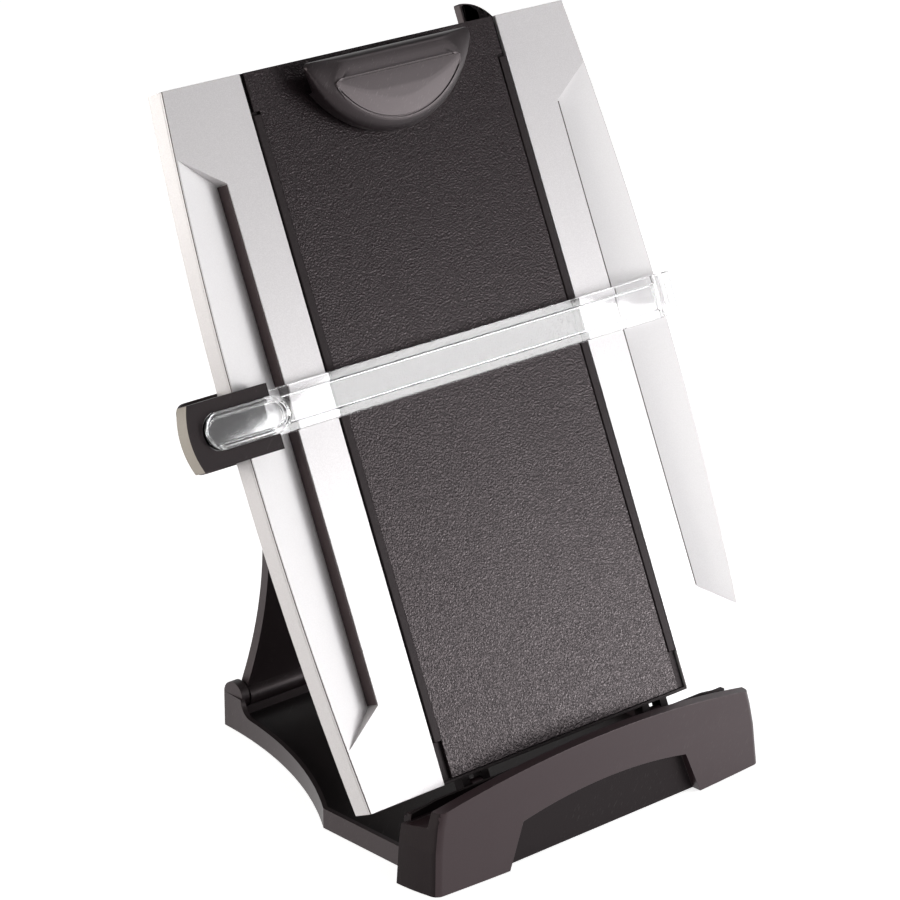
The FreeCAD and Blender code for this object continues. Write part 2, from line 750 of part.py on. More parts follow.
def strut_track(side, sign):
    """A slotted bracket on the cover that the strut's top rod runs in."""
    body = new_body(f"{side}_strut_track", place_on_panel)
    near = "strut_track_inside" if sign > 0 else "-strut_track_inside - strut_track_width"
    flange = ("strut_track_inside" if sign > 0
              else "-strut_track_inside - strut_track_flange")
    back = "-cover_front - cover_thickness - seam_gap / 2"
    slant = "strut_track_depth / 2"
    slot_low = "(strut_rod_rise - slot_reach_down)"
    slot_high = "(strut_rod_rise + slot_reach_up)"
    low = f"({slot_low} - strut_track_end)"
    high = f"({slot_high} + strut_track_end)"
    web = [(low, back), (f"{low} + {slant}", "-strut_track_depth"),
           (f"{high} - {slant}", "-strut_track_depth"), (high, back)]
    pad(body, "web", "YZ_Plane", web, offset=near, depth="strut_track_width")
    pad(body, "flange", "YZ_Plane",
        box_corners(low, f"{back} - strut_track_flange_thickness", high, back),
        offset=flange, depth="strut_track_flange")
    slot = stadium_corners(f"{slot_low} - slot_half_width", f"{slot_high} + slot_half_width",
                           "-strut_rod_depth + slot_offset", "slot_half_width")
    pocket(body, "slot", "YZ_Plane", slot, offset="panel_end_half", depth="2 * panel_end_half")


def screw(name, across, setback, height, length, diameter="screw_diameter"):
    """A pan-head screw: its head sits at the place and its shank grows along +Z."""
    head_height = "screw_head_height"
    head = cylinder(f"{name}_head", f"{diameter} / 2 * screw_head_diameter / screw_diameter",
                    head_height, across, setback, f"{height} - {head_height}")
    shank = cylinder(f"{name}_shank", f"{diameter} / 2 - screw_clearance / 2", length,
                     across, setback, height)
    return fused(name, [head, shank])


def panel_fasteners():
    """Screws that hold the wings and the rear cover to the shell."""
    members = [screw(f"wing_screw_{index}", across, rise, "-shell_depth", "panel_screw_length")
               for index, (across, rise) in enumerate(PANEL_SCREWS, start=1)]
    group("wing_screws", members, place_on_panel)
    reach = "cover_front + cover_thickness - shell_depth + shell_wall"
    members = [screw(f"cover_screw_{index}", across, rise, "-cover_front - cover_thickness", reach)
               for index, (across, rise) in enumerate(COVER_SCREWS, start=1)]
    group("cover_screws", members, place_on_panel)


# --- paper clip ---------------------------------------------------------------------------------

def place_on_clip(item):
    """Lay an object in the clip's own frame, tilted about the clip pin."""
    setback = "clip_pin_rise * sin(lean_angle) - clip_pin_out * cos(lean_angle)"
    height = "panel_foot_height + clip_pin_rise * cos(lean_angle) + clip_pin_out * sin(lean_angle)"
    place(item, turn="90 - lean_angle + clip_tilt", setback=setback, height=height)


CLIP_CENTRE = "(clip_top + sqrt(clip_radius ^ 2 - clip_half ^ 2))"


def half_moon(inset):
    """The clip's outline moved in: straight at the top, round below."""
    top = f"(clip_top - ({inset}))"
    radius = f"(clip_radius - ({inset}))"
    half = f"sqrt({radius} ^ 2 - ({CLIP_CENTRE} - {top}) ^ 2)"
    return [(f"-{half}", top, radius), (half, top)]


def skirt_outline(top, outer_inset, inner_inset):
    """A band along the clip's round edge, below a height."""
    halves = [f"sqrt((clip_radius - ({inset})) ^ 2 - ({CLIP_CENTRE} - ({top})) ^ 2)"
              for inset in (outer_inset, inner_inset)]
    return [(f"-{halves[0]}", top, f"clip_radius - ({outer_inset})"), (halves[0], top),
            (halves[1], top, f"-(clip_radius - ({inner_inset}))"), (f"-{halves[1]}", top)]


def below_board(clearance):
    """The side view of everything nearer to the board than a clearance."""
    drop = f"(clip_pin_out - ({clearance}))"
    reach = "clip_radius"
    far = "2 * clip_radius"
    line = f"-{drop} * cos(clip_tilt)"
    return [(f"-{reach} * cos(clip_tilt) - {drop} * sin(clip_tilt)", f"{reach} * sin(clip_tilt) {line}"),
            (f"-{reach} - {far}", f"-{far}"), (f"{reach} + {far}", f"-{far}"),
            (f"{reach} * cos(clip_tilt) - {drop} * sin(clip_tilt)", f"-{reach} * sin(clip_tilt) {line}")]


def clip_lever():
    """The half-moon clip: a crowned shell with a skirt and two knuckles for the pin."""
    body = new_body("clip_lever", place_on_clip)
    skirt_drop = "(clip_rim_out + clip_pin_out)"
    pad(body, "skirt", "XY_Plane", skirt_outline("clip_skirt_top", "0", "clip_wall"),
        offset=f"clip_rim_out - {skirt_drop}", depth=skirt_drop)
    pocket(body, "skirt_foot", "YZ_Plane", below_board("clip_skirt_clearance"),
           offset="2 * clip_half", depth="4 * clip_half")
    pad(body, "rim", "XY_Plane", half_moon("0"), offset="clip_rim_out - clip_rim_thickness",
        depth="clip_rim_thickness")
    loft(body, "crown", [(half_moon("clip_crown_step"), "clip_rim_out - clip_crown_lap"),
                         (half_moon("clip_crown_inset"), "clip_rim_out + clip_crown_height")])
    loft(body, "underside", [(half_moon("clip_wall + clip_hollow_step"),
                              "clip_rim_out - clip_rim_thickness - clip_crown_lap"),
                             (half_moon("clip_crown_inset + clip_wall"),
                              "clip_rim_out + clip_crown_height - clip_wall")], additive=False)
    knuckle_radius = "(clip_pin_diameter / 2 + clip_wall - clip_side_gap)"
    crown_inside = "(clip_rim_out + clip_crown_height - clip_wall / 2)"
    knuckle = [(knuckle_radius, crown_inside), (f"-{knuckle_radius}", crown_inside),
               (f"-{knuckle_radius}", "0", knuckle_radius), ("0", f"-{knuckle_radius}", knuckle_radius),
               (knuckle_radius, "0")]
    near = "clip_ear_inside + clip_ear_width + clip_side_gap"
    pad(body, "right_knuckle", "YZ_Plane", knuckle, offset=near, depth="clip_knuckle_width")
    pad(body, "left_knuckle", "YZ_Plane", knuckle, offset=f"-({near}) - clip_knuckle_width",
        depth="clip_knuckle_width")
    pocket(body, "pin_bore", "YZ_Plane", offset="clip_half", depth="2 * clip_half",
           circles=[("0", "0", "clip_pin_diameter / 2 + rod_clearance")])


def clip_jaw_pad():
    """The rubber strip inside the skirt that presses on the page."""
    body = new_body("clip_jaw_pad", place_on_clip)
    pad(body, "strip", "XY_Plane",
        skirt_outline("clip_jaw_top", "clip_wall + seam_gap", "clip_wall + seam_gap + clip_jaw_grip"),
        offset="-clip_pin_out", depth="clip_pin_out + clip_rim_out - clip_rim_thickness")
    pocket(body, "strip_foot", "YZ_Plane", below_board("clip_skirt_clearance / 2"),
           offset="2 * clip_half", depth="4 * clip_half")


# --- line guide ---------------------------------------------------------------------------------

GUIDE_SCREW_RISES = ["housing_low + guide_screw_inset", "housing_high - guide_screw_top_inset"]
CLAMP_FRONT = "(-shell_depth - clamp_gap)"
CLAMP_EDGE = f"({edge_half(PANEL_MIDDLE)} + clamp_edge_clearance)"
CLAMP_RIGHT = f"({COVER_HALF} + clamp_cover_gap)"
GUIDE_PAD_SIDE = f"(({COVER_HALF} + {edge_half(PANEL_MIDDLE)}) / 2)"


def guide_bar():
    """The clear ruler: a thin web between two ribs."""
    body = new_body("guide_bar", place_on_panel)
    low_rib = "(guide_low + guide_rib)"
    high_rib = "(guide_high - guide_rib)"
    profile = [("guide_low", "guide_back"), (low_rib, "guide_back"), (low_rib, "guide_web_back"),
               (high_rib, "guide_web_back"), (high_rib, "guide_back"), ("guide_high", "guide_back"),
               ("guide_high", "guide_front"), (high_rib, "guide_front"), (high_rib, "guide_web_front"),
               (low_rib, "guide_web_front"), (low_rib, "guide_front"), ("guide_low", "guide_front")]
    pad(body, "bar", "YZ_Plane", profile, offset="-guide_left", depth="guide_left + guide_right")


def guide_housing():
    """The black housing at the left end, slotted for the bar and open for the clear grip."""
    body = new_body("guide_housing", place_on_panel)
    corners = [("-housing_right", "housing_low"), ("-housing_right", "housing_high"),
               ("-housing_left", "housing_high", "housing_bulge_radius"), ("-housing_left", "housing_low")]
    pad(body, "block", "XY_Plane", corners, offset="housing_back", depth="housing_front - housing_back")
    pocket(body, "bar_slot", "YZ_Plane",
           box_corners("guide_low - guide_fit", "guide_back - guide_fit",
                       "guide_high + guide_fit", "guide_front + guide_fit"),
           offset="-housing_right + cut_over", depth="guide_left + guide_fit - housing_right + cut_over")
    window = stadium_corners("-(grip_left + guide_fit)", "-(grip_right - guide_fit)", "grip_middle",
                             "(grip_radius + guide_fit)")
    pocket(body, "grip_window", "XY_Plane", window, offset="housing_front + cut_over",
           depth="housing_front + cut_over - guide_front")
    pocket(body, "screw_pilots", "XY_Plane", offset="guide_screw_reach + seam_gap",
           depth="guide_screw_reach + guide_fit",
           circles=[("-guide_screw_side", rise, "guide_screw_diameter / 2") for rise in GUIDE_SCREW_RISES])


def guide_grip():
    """The clear oval grip with a raised rim, seated on the bar."""
    body = new_body("guide_grip", place_on_panel)
    pad(body, "oval", "XY_Plane", stadium_corners("-grip_left", "-grip_right", "grip_middle", "grip_radius"),
        offset="guide_front + seam_gap / 2", depth="grip_front - guide_front - seam_gap / 2")
    dish = stadium_corners("-(grip_left - grip_rim)", "-(grip_right + grip_rim)", "grip_middle",
                           "(grip_radius - grip_rim)")
    pocket(body, "dish", "XY_Plane", dish, offset="grip_front",
           depth="grip_front - guide_front - grip_floor")


def guide_clamp():
    """The part of the housing that reaches round the panel's left edge and behind it."""
    body = new_body("guide_clamp", place_on_panel)
    plate = [(f"-{CLAMP_RIGHT}", "clamp_low"), (f"-{CLAMP_RIGHT}", "clamp_high"),
             ("-(clamp_left - clamp_corner)", "clamp_high", "clamp_corner"),
             ("-clamp_left", "clamp_high - clamp_corner"),
             ("-clamp_left", "clamp_low + clamp_corner", "clamp_corner"),
             ("-(clamp_left - clamp_corner)", "clamp_low")]
    pad(body, "plate", "XY_Plane", plate, offset=f"{CLAMP_FRONT} - clamp_thickness", depth="clamp_thickness")
    block = box_corners("-clamp_left", "housing_low", f"-{CLAMP_EDGE}", "housing_high")
    pad(body, "bridge", "XY_Plane", block, offset=CLAMP_FRONT,
        depth=f"housing_back - seam_gap / 2 - {CLAMP_FRONT}")
    holes = [("-guide_screw_side", rise, "guide_screw_diameter / 2 + screw_clearance")
             for rise in GUIDE_SCREW_RISES]
    pocket(body, "screw_holes", "XY_Plane", offset="housing_front", depth="3 * shell_depth", circles=holes)


def guide_fasteners():
    """Two screws from behind, and the friction pad between the clamp and the shell."""
    members = [screw(f"guide_screw_{index}", "-guide_screw_side", rise,
                     f"{CLAMP_FRONT} - clamp_thickness",
                     f"guide_screw_reach + clamp_thickness - {CLAMP_FRONT}", diameter="guide_screw_diameter")
               for index, rise in enumerate(GUIDE_SCREW_RISES, start=1)]
    group("guide_screws", members, place_on_panel)
    body = new_body("guide_pad", place_on_panel)
    middle = "((clamp_low + clamp_high) / 2)"
    corners = box_corners(f"-{GUIDE_PAD_SIDE} - guide_pad_width / 2", f"{middle} - guide_pad_length / 2",
                          f"-{GUIDE_PAD_SIDE} + guide_pad_width / 2", f"{middle} + guide_pad_length / 2")
    pad(body, "pad", "XY_Plane", corners, offset=f"{CLAMP_FRONT} + seam_gap / 2",
        depth="clamp_gap - seam_gap")


def guide_end_hook():
    """The clear hook at the right end that wraps the panel's right edge."""
    body = new_body("guide_end_hook", place_on_panel)
    start = "guide_right + seam_gap / 2"
    inner = f"({edge_half(PANEL_MIDDLE)} + hook_edge_clearance)"
    outer = f"{inner} + hook_wall"
    lip_front = CLAMP_FRONT
    lip_back = f"({CLAMP_FRONT} - hook_lip_thickness)"
    profile = [(start, "guide_back"), (inner, "guide_back"), (inner, lip_front),
               ("hook_lip_reach", lip_front), ("hook_lip_reach", lip_back), (outer, lip_back),
               (outer, "guide_front"), (start, "guide_front")]
    pad(body, "hook", "XZ_Plane", profile, offset="-guide_high", depth="guide_high - guide_low")


# --- memo board ---------------------------------------------------------------------------------

def memo_parts():
    """The slide-out board with its top carrier, finger tab and two glides."""
    body = new_body("memo_board", place_on_panel)
    back = "-memo_front - memo_thickness"
    pad(body, "board", "XY_Plane", mirrored_corners(MEMO_HALF, "memo_foot", "memo_top"),
        offset=back, depth="memo_thickness")
    body = new_body("memo_carrier", place_on_panel)
    low = "memo_top + seam_gap / 2"
    high = "memo_top + carrier_rise"
    pad(body, "bar", "XY_Plane", mirrored_corners(MEMO_HALF, low, high),
        offset=f"{back} - carrier_lap", depth="memo_thickness + 2 * carrier_lap")
    body = new_body("memo_tab", place_on_panel)
    foot = "memo_top + carrier_rise + seam_gap / 2"
    curve_start = "(tab_top - tab_radius)"
    crest = f"{curve_start} + sqrt(tab_radius ^ 2 - tab_width ^ 2)"
    right = f"({MEMO_HALF} + tab_overhang)"
    left = f"({right} - tab_width)"
    corners = [(left, foot), (right, foot), (right, crest, "tab_radius"), (left, "tab_top")]
    pad(body, "tab", "XY_Plane", corners, offset="-tab_back", depth="tab_back - tab_front")
    dish_radius = "(tab_radius - tab_rim)"
    dish = [(f"{left} + tab_rim", f"{foot} + tab_rim"), (f"{right} - tab_rim", f"{foot} + tab_rim"),
            (f"{right} - tab_rim",
             f"{curve_start} + sqrt({dish_radius} ^ 2 - (tab_width - tab_rim) ^ 2)", dish_radius),
            (f"{left} + tab_rim", f"{curve_start} + sqrt({dish_radius} ^ 2 - tab_rim ^ 2)")]
    pocket(body, "dish", "XY_Plane", dish, offset="-tab_front", depth="tab_dish")
    glides = []
    for side, sign in SIDES.items():
        glide = document.addObject("Part::Box", f"{side}_glide")
        bind(glide, Length="glide_length", Width="track_clearance - seam_gap", Height="memo_thickness",
             Placement__Base__x=f"{sign} * glide_spread - glide_length / 2",
             Placement__Base__y="memo_foot - track_clearance + seam_gap / 2", Placement__Base__z=back)
        glides.append(glide)
    group("memo_glides", glides, place_on_panel)


# --- strut --------------------------------------------------------------------------------------

def place_on_strut(item):
    """Stand an object on the strut's lower pivot, leaning forward to the panel."""
    place(item, turn="90", setback="strut_pivot_setback", height="strut_pivot_height")
    item.setExpression("Placement.Rotation.Angle", sized(f"90 deg + atan({STRUT_RUN} / {STRUT_RISE})"))


def strut_leg():
    """The rear leg: a waisted plate with side flanges, a barrel below and a boss on top."""
    body = new_body("strut_leg", place_on_strut)
    outline = [("-strut_foot_half", "0"), ("strut_foot_half", "0"),
               ("strut_foot_half", "strut_waist_start", "-strut_waist_radius"),
               ("strut_shoulder_half", "strut_shoulder_rise"),
               ("strut_half", STRUT_LENGTH), ("-strut_half", STRUT_LENGTH),
               ("-strut_shoulder_half", "strut_shoulder_rise", "-strut_waist_radius"),
               ("-strut_foot_half", "strut_waist_start")]
    pad(body, "plate", "XY_Plane", outline, offset="-strut_thickness / 2", depth="strut_thickness")
    flange_foot = "strut_barrel_radius / 2"
    for side, sign in SIDES.items():
        foot, shoulder, top = (f"{sign} * ({half} - strut_flange_width)"
                               for half in ("strut_foot_half", "strut_shoulder_half", "strut_half"))
        flange = [(foot, flange_foot), (f"{sign} * strut_foot_half", flange_foot),
                  (f"{sign} * strut_foot_half", "strut_waist_start", "-strut_waist_radius"),
                  (f"{sign} * strut_shoulder_half", "strut_shoulder_rise"),
                  (f"{sign} * strut_half", STRUT_LENGTH), (top, STRUT_LENGTH),
                  (shoulder, "strut_shoulder_rise", "strut_waist_radius"),
                  (foot, "strut_waist_start")]
        pad(body, f"{side}_flange", "XY_Plane", flange,
            offset="-strut_thickness / 2 - strut_flange_depth + strut_thickness",
            depth="strut_flange_depth")
    pad(body, "barrel", "YZ_Plane", offset="-strut_foot_half", depth="2 * strut_foot_half",
        circles=[("0", "0", "strut_barrel_radius")])
    pad(body, "boss", "YZ_Plane", offset="-strut_half", depth="2 * strut_half",
        circles=[(STRUT_LENGTH, "0", "strut_boss_radius")])
    rod_radius = "strut_rod_diameter / 2 + rod_clearance"
    pocket(body, "pivot_bore", "YZ_Plane", offset="panel_end_half", depth="2 * panel_end_half",
           circles=[("0", "0", rod_radius)])
    pocket(body, "rod_bore", "YZ_Plane", offset="panel_end_half", depth="2 * panel_end_half",
           circles=[(STRUT_LENGTH, "0", rod_radius)])


def strut_rods():
    """The cross rod on top with its two bushes."""
    bar = cylinder("cross_rod_bar", "strut_rod_diameter / 2", "2 * strut_rod_half",
                   "-strut_rod_half", STRUT_LENGTH, "0", along_x=True)
    group("strut_cross_rod", [bar], place_on_strut)
    bushes = []
    for side, sign in SIDES.items():
        start = "strut_half + seam_gap" if sign > 0 else "-strut_half - seam_gap - bush_width"
        outer = cylinder(f"{side}_bush_body", "bush_radius", "bush_width", start, STRUT_LENGTH, "0",
                         along_x=True)
        bore = cylinder(f"{side}_bush_bore", "strut_rod_diameter / 2 + rod_clearance", "bush_width",
                        start, STRUT_LENGTH, "0", along_x=True)
        bush = document.addObject("Part::Cut", f"{side}_bush")
        bush.Base = outer
        bush.Tool = bore
        bushes.append(bush)
    group("strut_bushes", bushes, place_on_strut)


# --- base ---------------------------------------------------------------------------------------

BASE_SCREWS = [(f"{sign} * {reach}", "-base_screw_setback")
               for sign in SIDES.values() for reach in ("base_screw_side", "base_screw_inner_side")]
FEET = [(f"{sign} * {reach}", setback) for sign in SIDES.values()
        for reach, setback in (("front_foot_side", "0"), ("rear_foot_side", "rear_foot_setback"))]


def front_section(half, end):
    """A plan section of the front moulding: bowed front, round corners, bowed end faces."""
    shoulder = f"({half} - front_side_draw)"
    return [(f"-{half}", "front_rear"), (f"-{half}", "0", "front_side_radius"),
            (f"-{shoulder}", f"-({end} - front_corner)", "front_corner"),
            (f"-({shoulder} - front_corner)", f"-{end}", "front_bow_radius"),
            (f"{shoulder} - front_corner", f"-{end}", "front_corner"),
            (shoulder, f"-({end} - front_corner)", "front_side_radius"), (half, "0"),
            (half, "front_rear")]


def front_moulding():
    """The front moulding: trough, arched lip, cut-out between the feet and two hinge ears."""
    body = new_body("front_moulding")
    loft(body, "block", [(front_section("front_foot_half", "front_foot_end"), "base_bottom"),
                         (front_section("front_knee_half", "front_knee_end"), "front_knee_height"),
                         (front_section("front_waist_half", "front_waist_end"), "front_waist_height"),
                         (front_section("front_top_half", "front_top_end"), "front_top_height")])
    for side, sign in SIDES.items():
        pocket(body, f"{side}_end_notch", "XY_Plane",
               box_corners(f"{sign} * front_middle_half", "0", f"{sign} * trough_cut_half",
                           "2 * front_rear"),
               offset="front_top_height + cut_over", depth="front_top_height + cut_over")
    inner_end = "-lip_inner + (front_bow_radius - sqrt(front_bow_radius ^ 2 - trough_cut_half ^ 2))"
    trough = [("-trough_cut_half", inner_end, "front_bow_radius"), ("trough_cut_half", inner_end),
              ("trough_cut_half", "2 * front_rear"), ("-trough_cut_half", "2 * front_rear")]
    pocket(body, "trough", "XY_Plane", trough, offset="front_top_height + cut_over",
           depth="front_top_height + cut_over - trough_front_height")
    slope = [("-trough_slope_start", "trough_front_height"), ("front_rear", "trough_rear_height"),
             ("2 * front_rear", "trough_rear_height"), ("2 * front_rear", "trough_front_height + cut_over"),
             ("-trough_slope_start", "trough_front_height + cut_over")]
    pocket(body, "trough_slope", "YZ_Plane", slope, offset="trough_cut_half", depth="2 * trough_cut_half")
    arch_radius = "((lip_end_half ^ 2 + lip_end_drop ^ 2) / (2 * lip_end_drop))"
    arch_foot = f"lip_height - {arch_radius} + sqrt({arch_radius} ^ 2 - trough_cut_half ^ 2)"
    arch = [("-trough_cut_half", arch_foot, f"-{arch_radius}"), ("trough_cut_half", arch_foot),
            ("trough_cut_half", "2 * lip_height"), ("-trough_cut_half", "2 * lip_height")]
    pocket(body, "lip_arch", "XZ_Plane", arch, offset="2 * lip_height", depth="3 * lip_height")
    bow = "((recess_top_half ^ 2 + recess_bow ^ 2) / (2 * recess_bow))"
    recess = [("-recess_foot_half", "0"), ("recess_foot_half", "0"),
              ("recess_top_half", "recess_height", bow), ("-recess_top_half", "recess_height")]
    pocket(body, "foot_recess", "XZ_Plane", recess, offset="2 * recess_back", depth="recess_back")
    pocket(body, "cavity", "XY_Plane", mirrored_corners("cavity_half", "-cavity_front", "cavity_rear"),
           offset="cavity_ceiling", depth="cavity_ceiling")
    tray_top = "(base_bottom + tray_floor + piece_gap)"
    pocket(body, "tongue_slot", "XY_Plane",
           mirrored_corners("tongue_half + piece_gap", "0", "2 * front_rear"), offset=tray_top,
           depth=tray_top)
    well_half = "(hinge_ear_width / 2 + 2 * hinge_side_gap + hinge_lug_width)"
    for side, sign in SIDES.items():
        pocket(body, f"{side}_hinge_well", "XY_Plane",
               box_corners(f"{sign} * hinge_spread - {well_half}",
                           "hinge_setback - hinge_lug_radius - 2 * hinge_side_gap",
                           f"{sign} * hinge_spread + {well_half}", "2 * front_rear"),
               offset="trough_front_height + cut_over",
               depth="trough_front_height + cut_over - hinge_well_floor")
        ear = [("hinge_setback - hinge_ear_radius", "cavity_ceiling"),
               ("hinge_setback + hinge_ear_radius", "cavity_ceiling"),
               ("hinge_setback + hinge_ear_radius", "hinge_height", "hinge_ear_radius"),
               ("hinge_setback", "hinge_height + hinge_ear_radius", "hinge_ear_radius"),
               ("hinge_setback - hinge_ear_radius", "hinge_height")]
        pad(body, f"{side}_hinge_ear", "YZ_Plane", ear,
            offset=f"{sign} * hinge_spread - hinge_ear_width / 2", depth="hinge_ear_width")
        pad(body, f"{side}_trough_rim", "XY_Plane",
            box_corners(f"{sign} * trough_rim_start", "-trough_rim_width",
                        f"{sign} * trough_rim_end", "0"),
            offset="cavity_ceiling", depth="trough_rim_height - cavity_ceiling")
    pocket(body, "hinge_bore", "YZ_Plane", offset="hinge_spread + hinge_ear_width",
           depth="2 * (hinge_spread + hinge_ear_width)",
           circles=[("hinge_setback", "hinge_height", "hinge_pin_diameter / 2")])
    pad(body, "screw_bosses", "XY_Plane", offset=tray_top, depth=f"cavity_ceiling + cut_over - {tray_top}",
        circles=[(across, setback, "front_boss_radius") for across, setback in BASE_SCREWS])
    pocket(body, "screw_pilots", "XY_Plane", offset="base_bottom + tray_floor + base_screw_length",
           depth="base_screw_length", circles=[(across, setback, "screw_diameter / 2")
                                               for across, setback in BASE_SCREWS])


def tray_outline(inset):
    """The tray's plan: straight arms in front, swept in to the narrow rear."""
    arm = f"(tray_arm_half - ({inset}))"
    rear = f"(tray_rear_half - ({inset}))"
    sweep = f"-(tray_sweep_radius + ({inset}))"
    front = f"tray_front + ({inset})"
    back = f"tray_rear - ({inset})"
    return [(f"-{arm}", front), (arm, front), (arm, "tray_arm_rear", sweep), (rear, back),
            (f"-{rear}", back, sweep), (f"-{arm}", "tray_arm_rear")]


def base_tray():
    """The tray behind the moulding: two low arms, swept sides and two rear ears."""
    body = new_body("base_tray")
    ear_height = "(strut_pivot_height + tray_ear_lift)"
    ear_setback = "(tray_rear - tray_ear_radius)"
    ear_front = "(tray_rear - 2 * tray_ear_radius)"
    ear_top = f"({ear_height} + tray_ear_radius)"
    ear_fillet = f"({ear_height} - tray_side_height)"
    floor_top = "(base_bottom + tray_floor)"
    pad(body, "block", "XY_Plane", tray_outline("0"), offset="base_bottom", depth=f"{ear_top} - base_bottom")
    pocket(body, "hollow", "XY_Plane", tray_outline("tray_wall"), offset=f"{ear_top} + cut_over",
           depth=f"{ear_top} + cut_over - {floor_top}")
    over = f"{ear_top} + 2 * tray_wall"
    skyline = [("0", "tray_side_height"), (f"{ear_front} - {ear_fillet}", "tray_side_height", ear_fillet),
               (ear_front, ear_height), ("tray_rear + cut_over", ear_height),
               ("tray_rear + cut_over", over), ("0", over)]
    pocket(body, "skyline", "YZ_Plane", skyline, offset="tray_arm_half + cut_over",
           depth="2 * tray_arm_half + 2 * cut_over")
    pocket(body, "rear_gap", "XZ_Plane",
           mirrored_corners("tray_rear_half - tray_ear_width", "tray_rear_wall_height", over),
           offset="-(tray_rear - 2 * tray_wall)", depth="3 * tray_wall")
    for side, sign in SIDES.items():
        start = "tray_rear_half - tray_ear_width" if sign > 0 else "-tray_rear_half"
        pad(body, f"{side}_ear", "YZ_Plane", offset=start, depth="tray_ear_width",
            circles=[(ear_setback, ear_height, "tray_ear_radius")])
    pocket(body, "pivot_bore", "YZ_Plane", offset="tray_rear_half - tray_ear_skin",
           depth="2 * (tray_rear_half - tray_ear_skin)",
           circles=[("strut_pivot_setback", "strut_pivot_height", "strut_rod_diameter / 2 + rod_clearance")])
    pad(body, "tongue", "XY_Plane", mirrored_corners("tongue_half", "-tongue_front", "tray_front + cut_over"),
        offset="base_bottom", depth="tray_floor")
    seat_top = "rubber_thickness"
    pocket(body, "strip_seat", "XY_Plane",
           mirrored_corners("grip_strip_length / 2 + rubber_gap", "-grip_strip_width / 2 - rubber_gap",
                            "grip_strip_width / 2 + rubber_gap"), offset=seat_top, depth=seat_top)
    pocket(body, "foot_seats", "XY_Plane", offset=seat_top, depth=seat_top,
           circles=[(across, setback, "foot_diameter / 2 + rubber_gap") for across, setback in FEET])
    pocket(body, "screw_holes", "XY_Plane", offset="2 * tray_floor", depth="3 * tray_floor",
           circles=[(across, setback, "screw_diameter / 2 + screw_clearance")
                    for across, setback in BASE_SCREWS])
    pocket(body, "screw_head_seats", "XY_Plane", offset="base_bottom + screw_head_height + seam_gap",
           depth="2 * screw_head_height",
           circles=[(across, setback, "screw_head_diameter / 2 + rubber_gap")
                    for across, setback in BASE_SCREWS])


def base_trim():
    """Rubber, screws, hinge pins and the strut's pivot rod."""
    body = new_body("grip_strip")
    pad(body, "strip", "XY_Plane",
        mirrored_corners("grip_strip_length / 2", "-grip_strip_width / 2", "grip_strip_width / 2"),
        depth="rubber_thickness")
    feet = [cylinder(f"foot_{index}", "foot_diameter / 2", "rubber_thickness", across, setback)
            for index, (across, setback) in enumerate(FEET, start=1)]
    group("corner_feet", feet)
    screws = [screw(f"base_screw_{index}", across, setback, "base_bottom + screw_head_height",
                    "base_screw_length")
              for index, (across, setback) in enumerate(BASE_SCREWS, start=1)]
    group("base_screws", screws)
    pins = [cylinder(f"{side}_hinge_pin", "hinge_pin_diameter / 2", "hinge_pin_length",
                     f"{sign} * hinge_spread - hinge_pin_length / 2", "hinge_setback", "hinge_height",
                     along_x=True)
            for side, sign in SIDES.items()]
    group("hinge_pins", pins)
    rod_half = "(tray_rear_half - tray_ear_skin - piece_gap)"
    rod = cylinder("pivot_rod_bar", "strut_rod_diameter / 2", f"2 * {rod_half}", f"-{rod_half}",
                   "strut_pivot_setback", "strut_pivot_height", along_x=True)
    group("strut_pivot_rod", [rod])


# --- build and export ---------------------------------------------------------------------------

def build():
    """Make every sub-part."""
    base_tray()
    front_moulding()
    base_trim()
    rear_shell()
    for side, sign in SIDES.items():
        wing(side, sign)
        step_liner(side, sign)
        edge_rail(side, sign)
        strut_track(side, sign)
    centre_frame()
    backing_board()
    clip_bracket()
    clip_pin()
    clip_spring()
    lower_high = "memo_foot - track_clearance"
    memo_track("memo_track_lower", f"{lower_high} - track_block", lower_high,
               f"{lower_high} - track_block", "memo_foot + track_lip",
               f"({COVER_HALF} - track_open_gap)")
    upper_low = "memo_top + carrier_rise + track_clearance"
    memo_track("memo_track_upper", upper_low, "cover_top", f"{upper_low} - track_lip", "cover_top",
               "track_upper_half")
    rear_cover()
    panel_fasteners()
    clip_lever()
    clip_jaw_pad()
    guide_bar()
    guide_housing()
    guide_grip()
    guide_clamp()
    guide_fasteners()
    guide_end_hook()
    memo_parts()
    strut_leg()
    strut_rods()
    document.recompute()


def check():
    """Stop if any object failed or any sub-part has no sound shape."""
    for item in document.Objects:
        if {"Invalid", "Error"} & set(item.State):
            raise RuntimeError(f"{item.Label} did not build: {item.State}")
    for label, item in pieces.items():
        if item.Shape.isNull() or not item.Shape.isValid() or not item.Shape.Solids:
            raise RuntimeError(f"{label} has no sound shape")


def export():
    """Write one STEP file for each sub-part."""
    os.makedirs("parts", exist_ok=True)
    for label, item in pieces.items():
        item.Shape.exportStep(f"parts/{label}.step")
        box = item.Shape.BoundBox
        print(f"{label:20s} solids {len(item.Shape.Solids)} volume {item.Shape.Volume / 1000:8.2f} cm3"
              f"  x {box.XMin:7.1f} {box.XMax:7.1f}  y {box.YMin:7.1f} {box.YMax:7.1f}"
              f"  z {box.ZMin:7.1f} {box.ZMax:7.1f}")


build()
check()
export()
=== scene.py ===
"""Dressed model of a copy holder with a line guide: finishes, softened edges and studio."""

import json
import logging
import math
from collections.abc import Callable
from dataclasses import dataclass
from enum import Enum

import bmesh
import bpy
from mathutils import Matrix, Vector


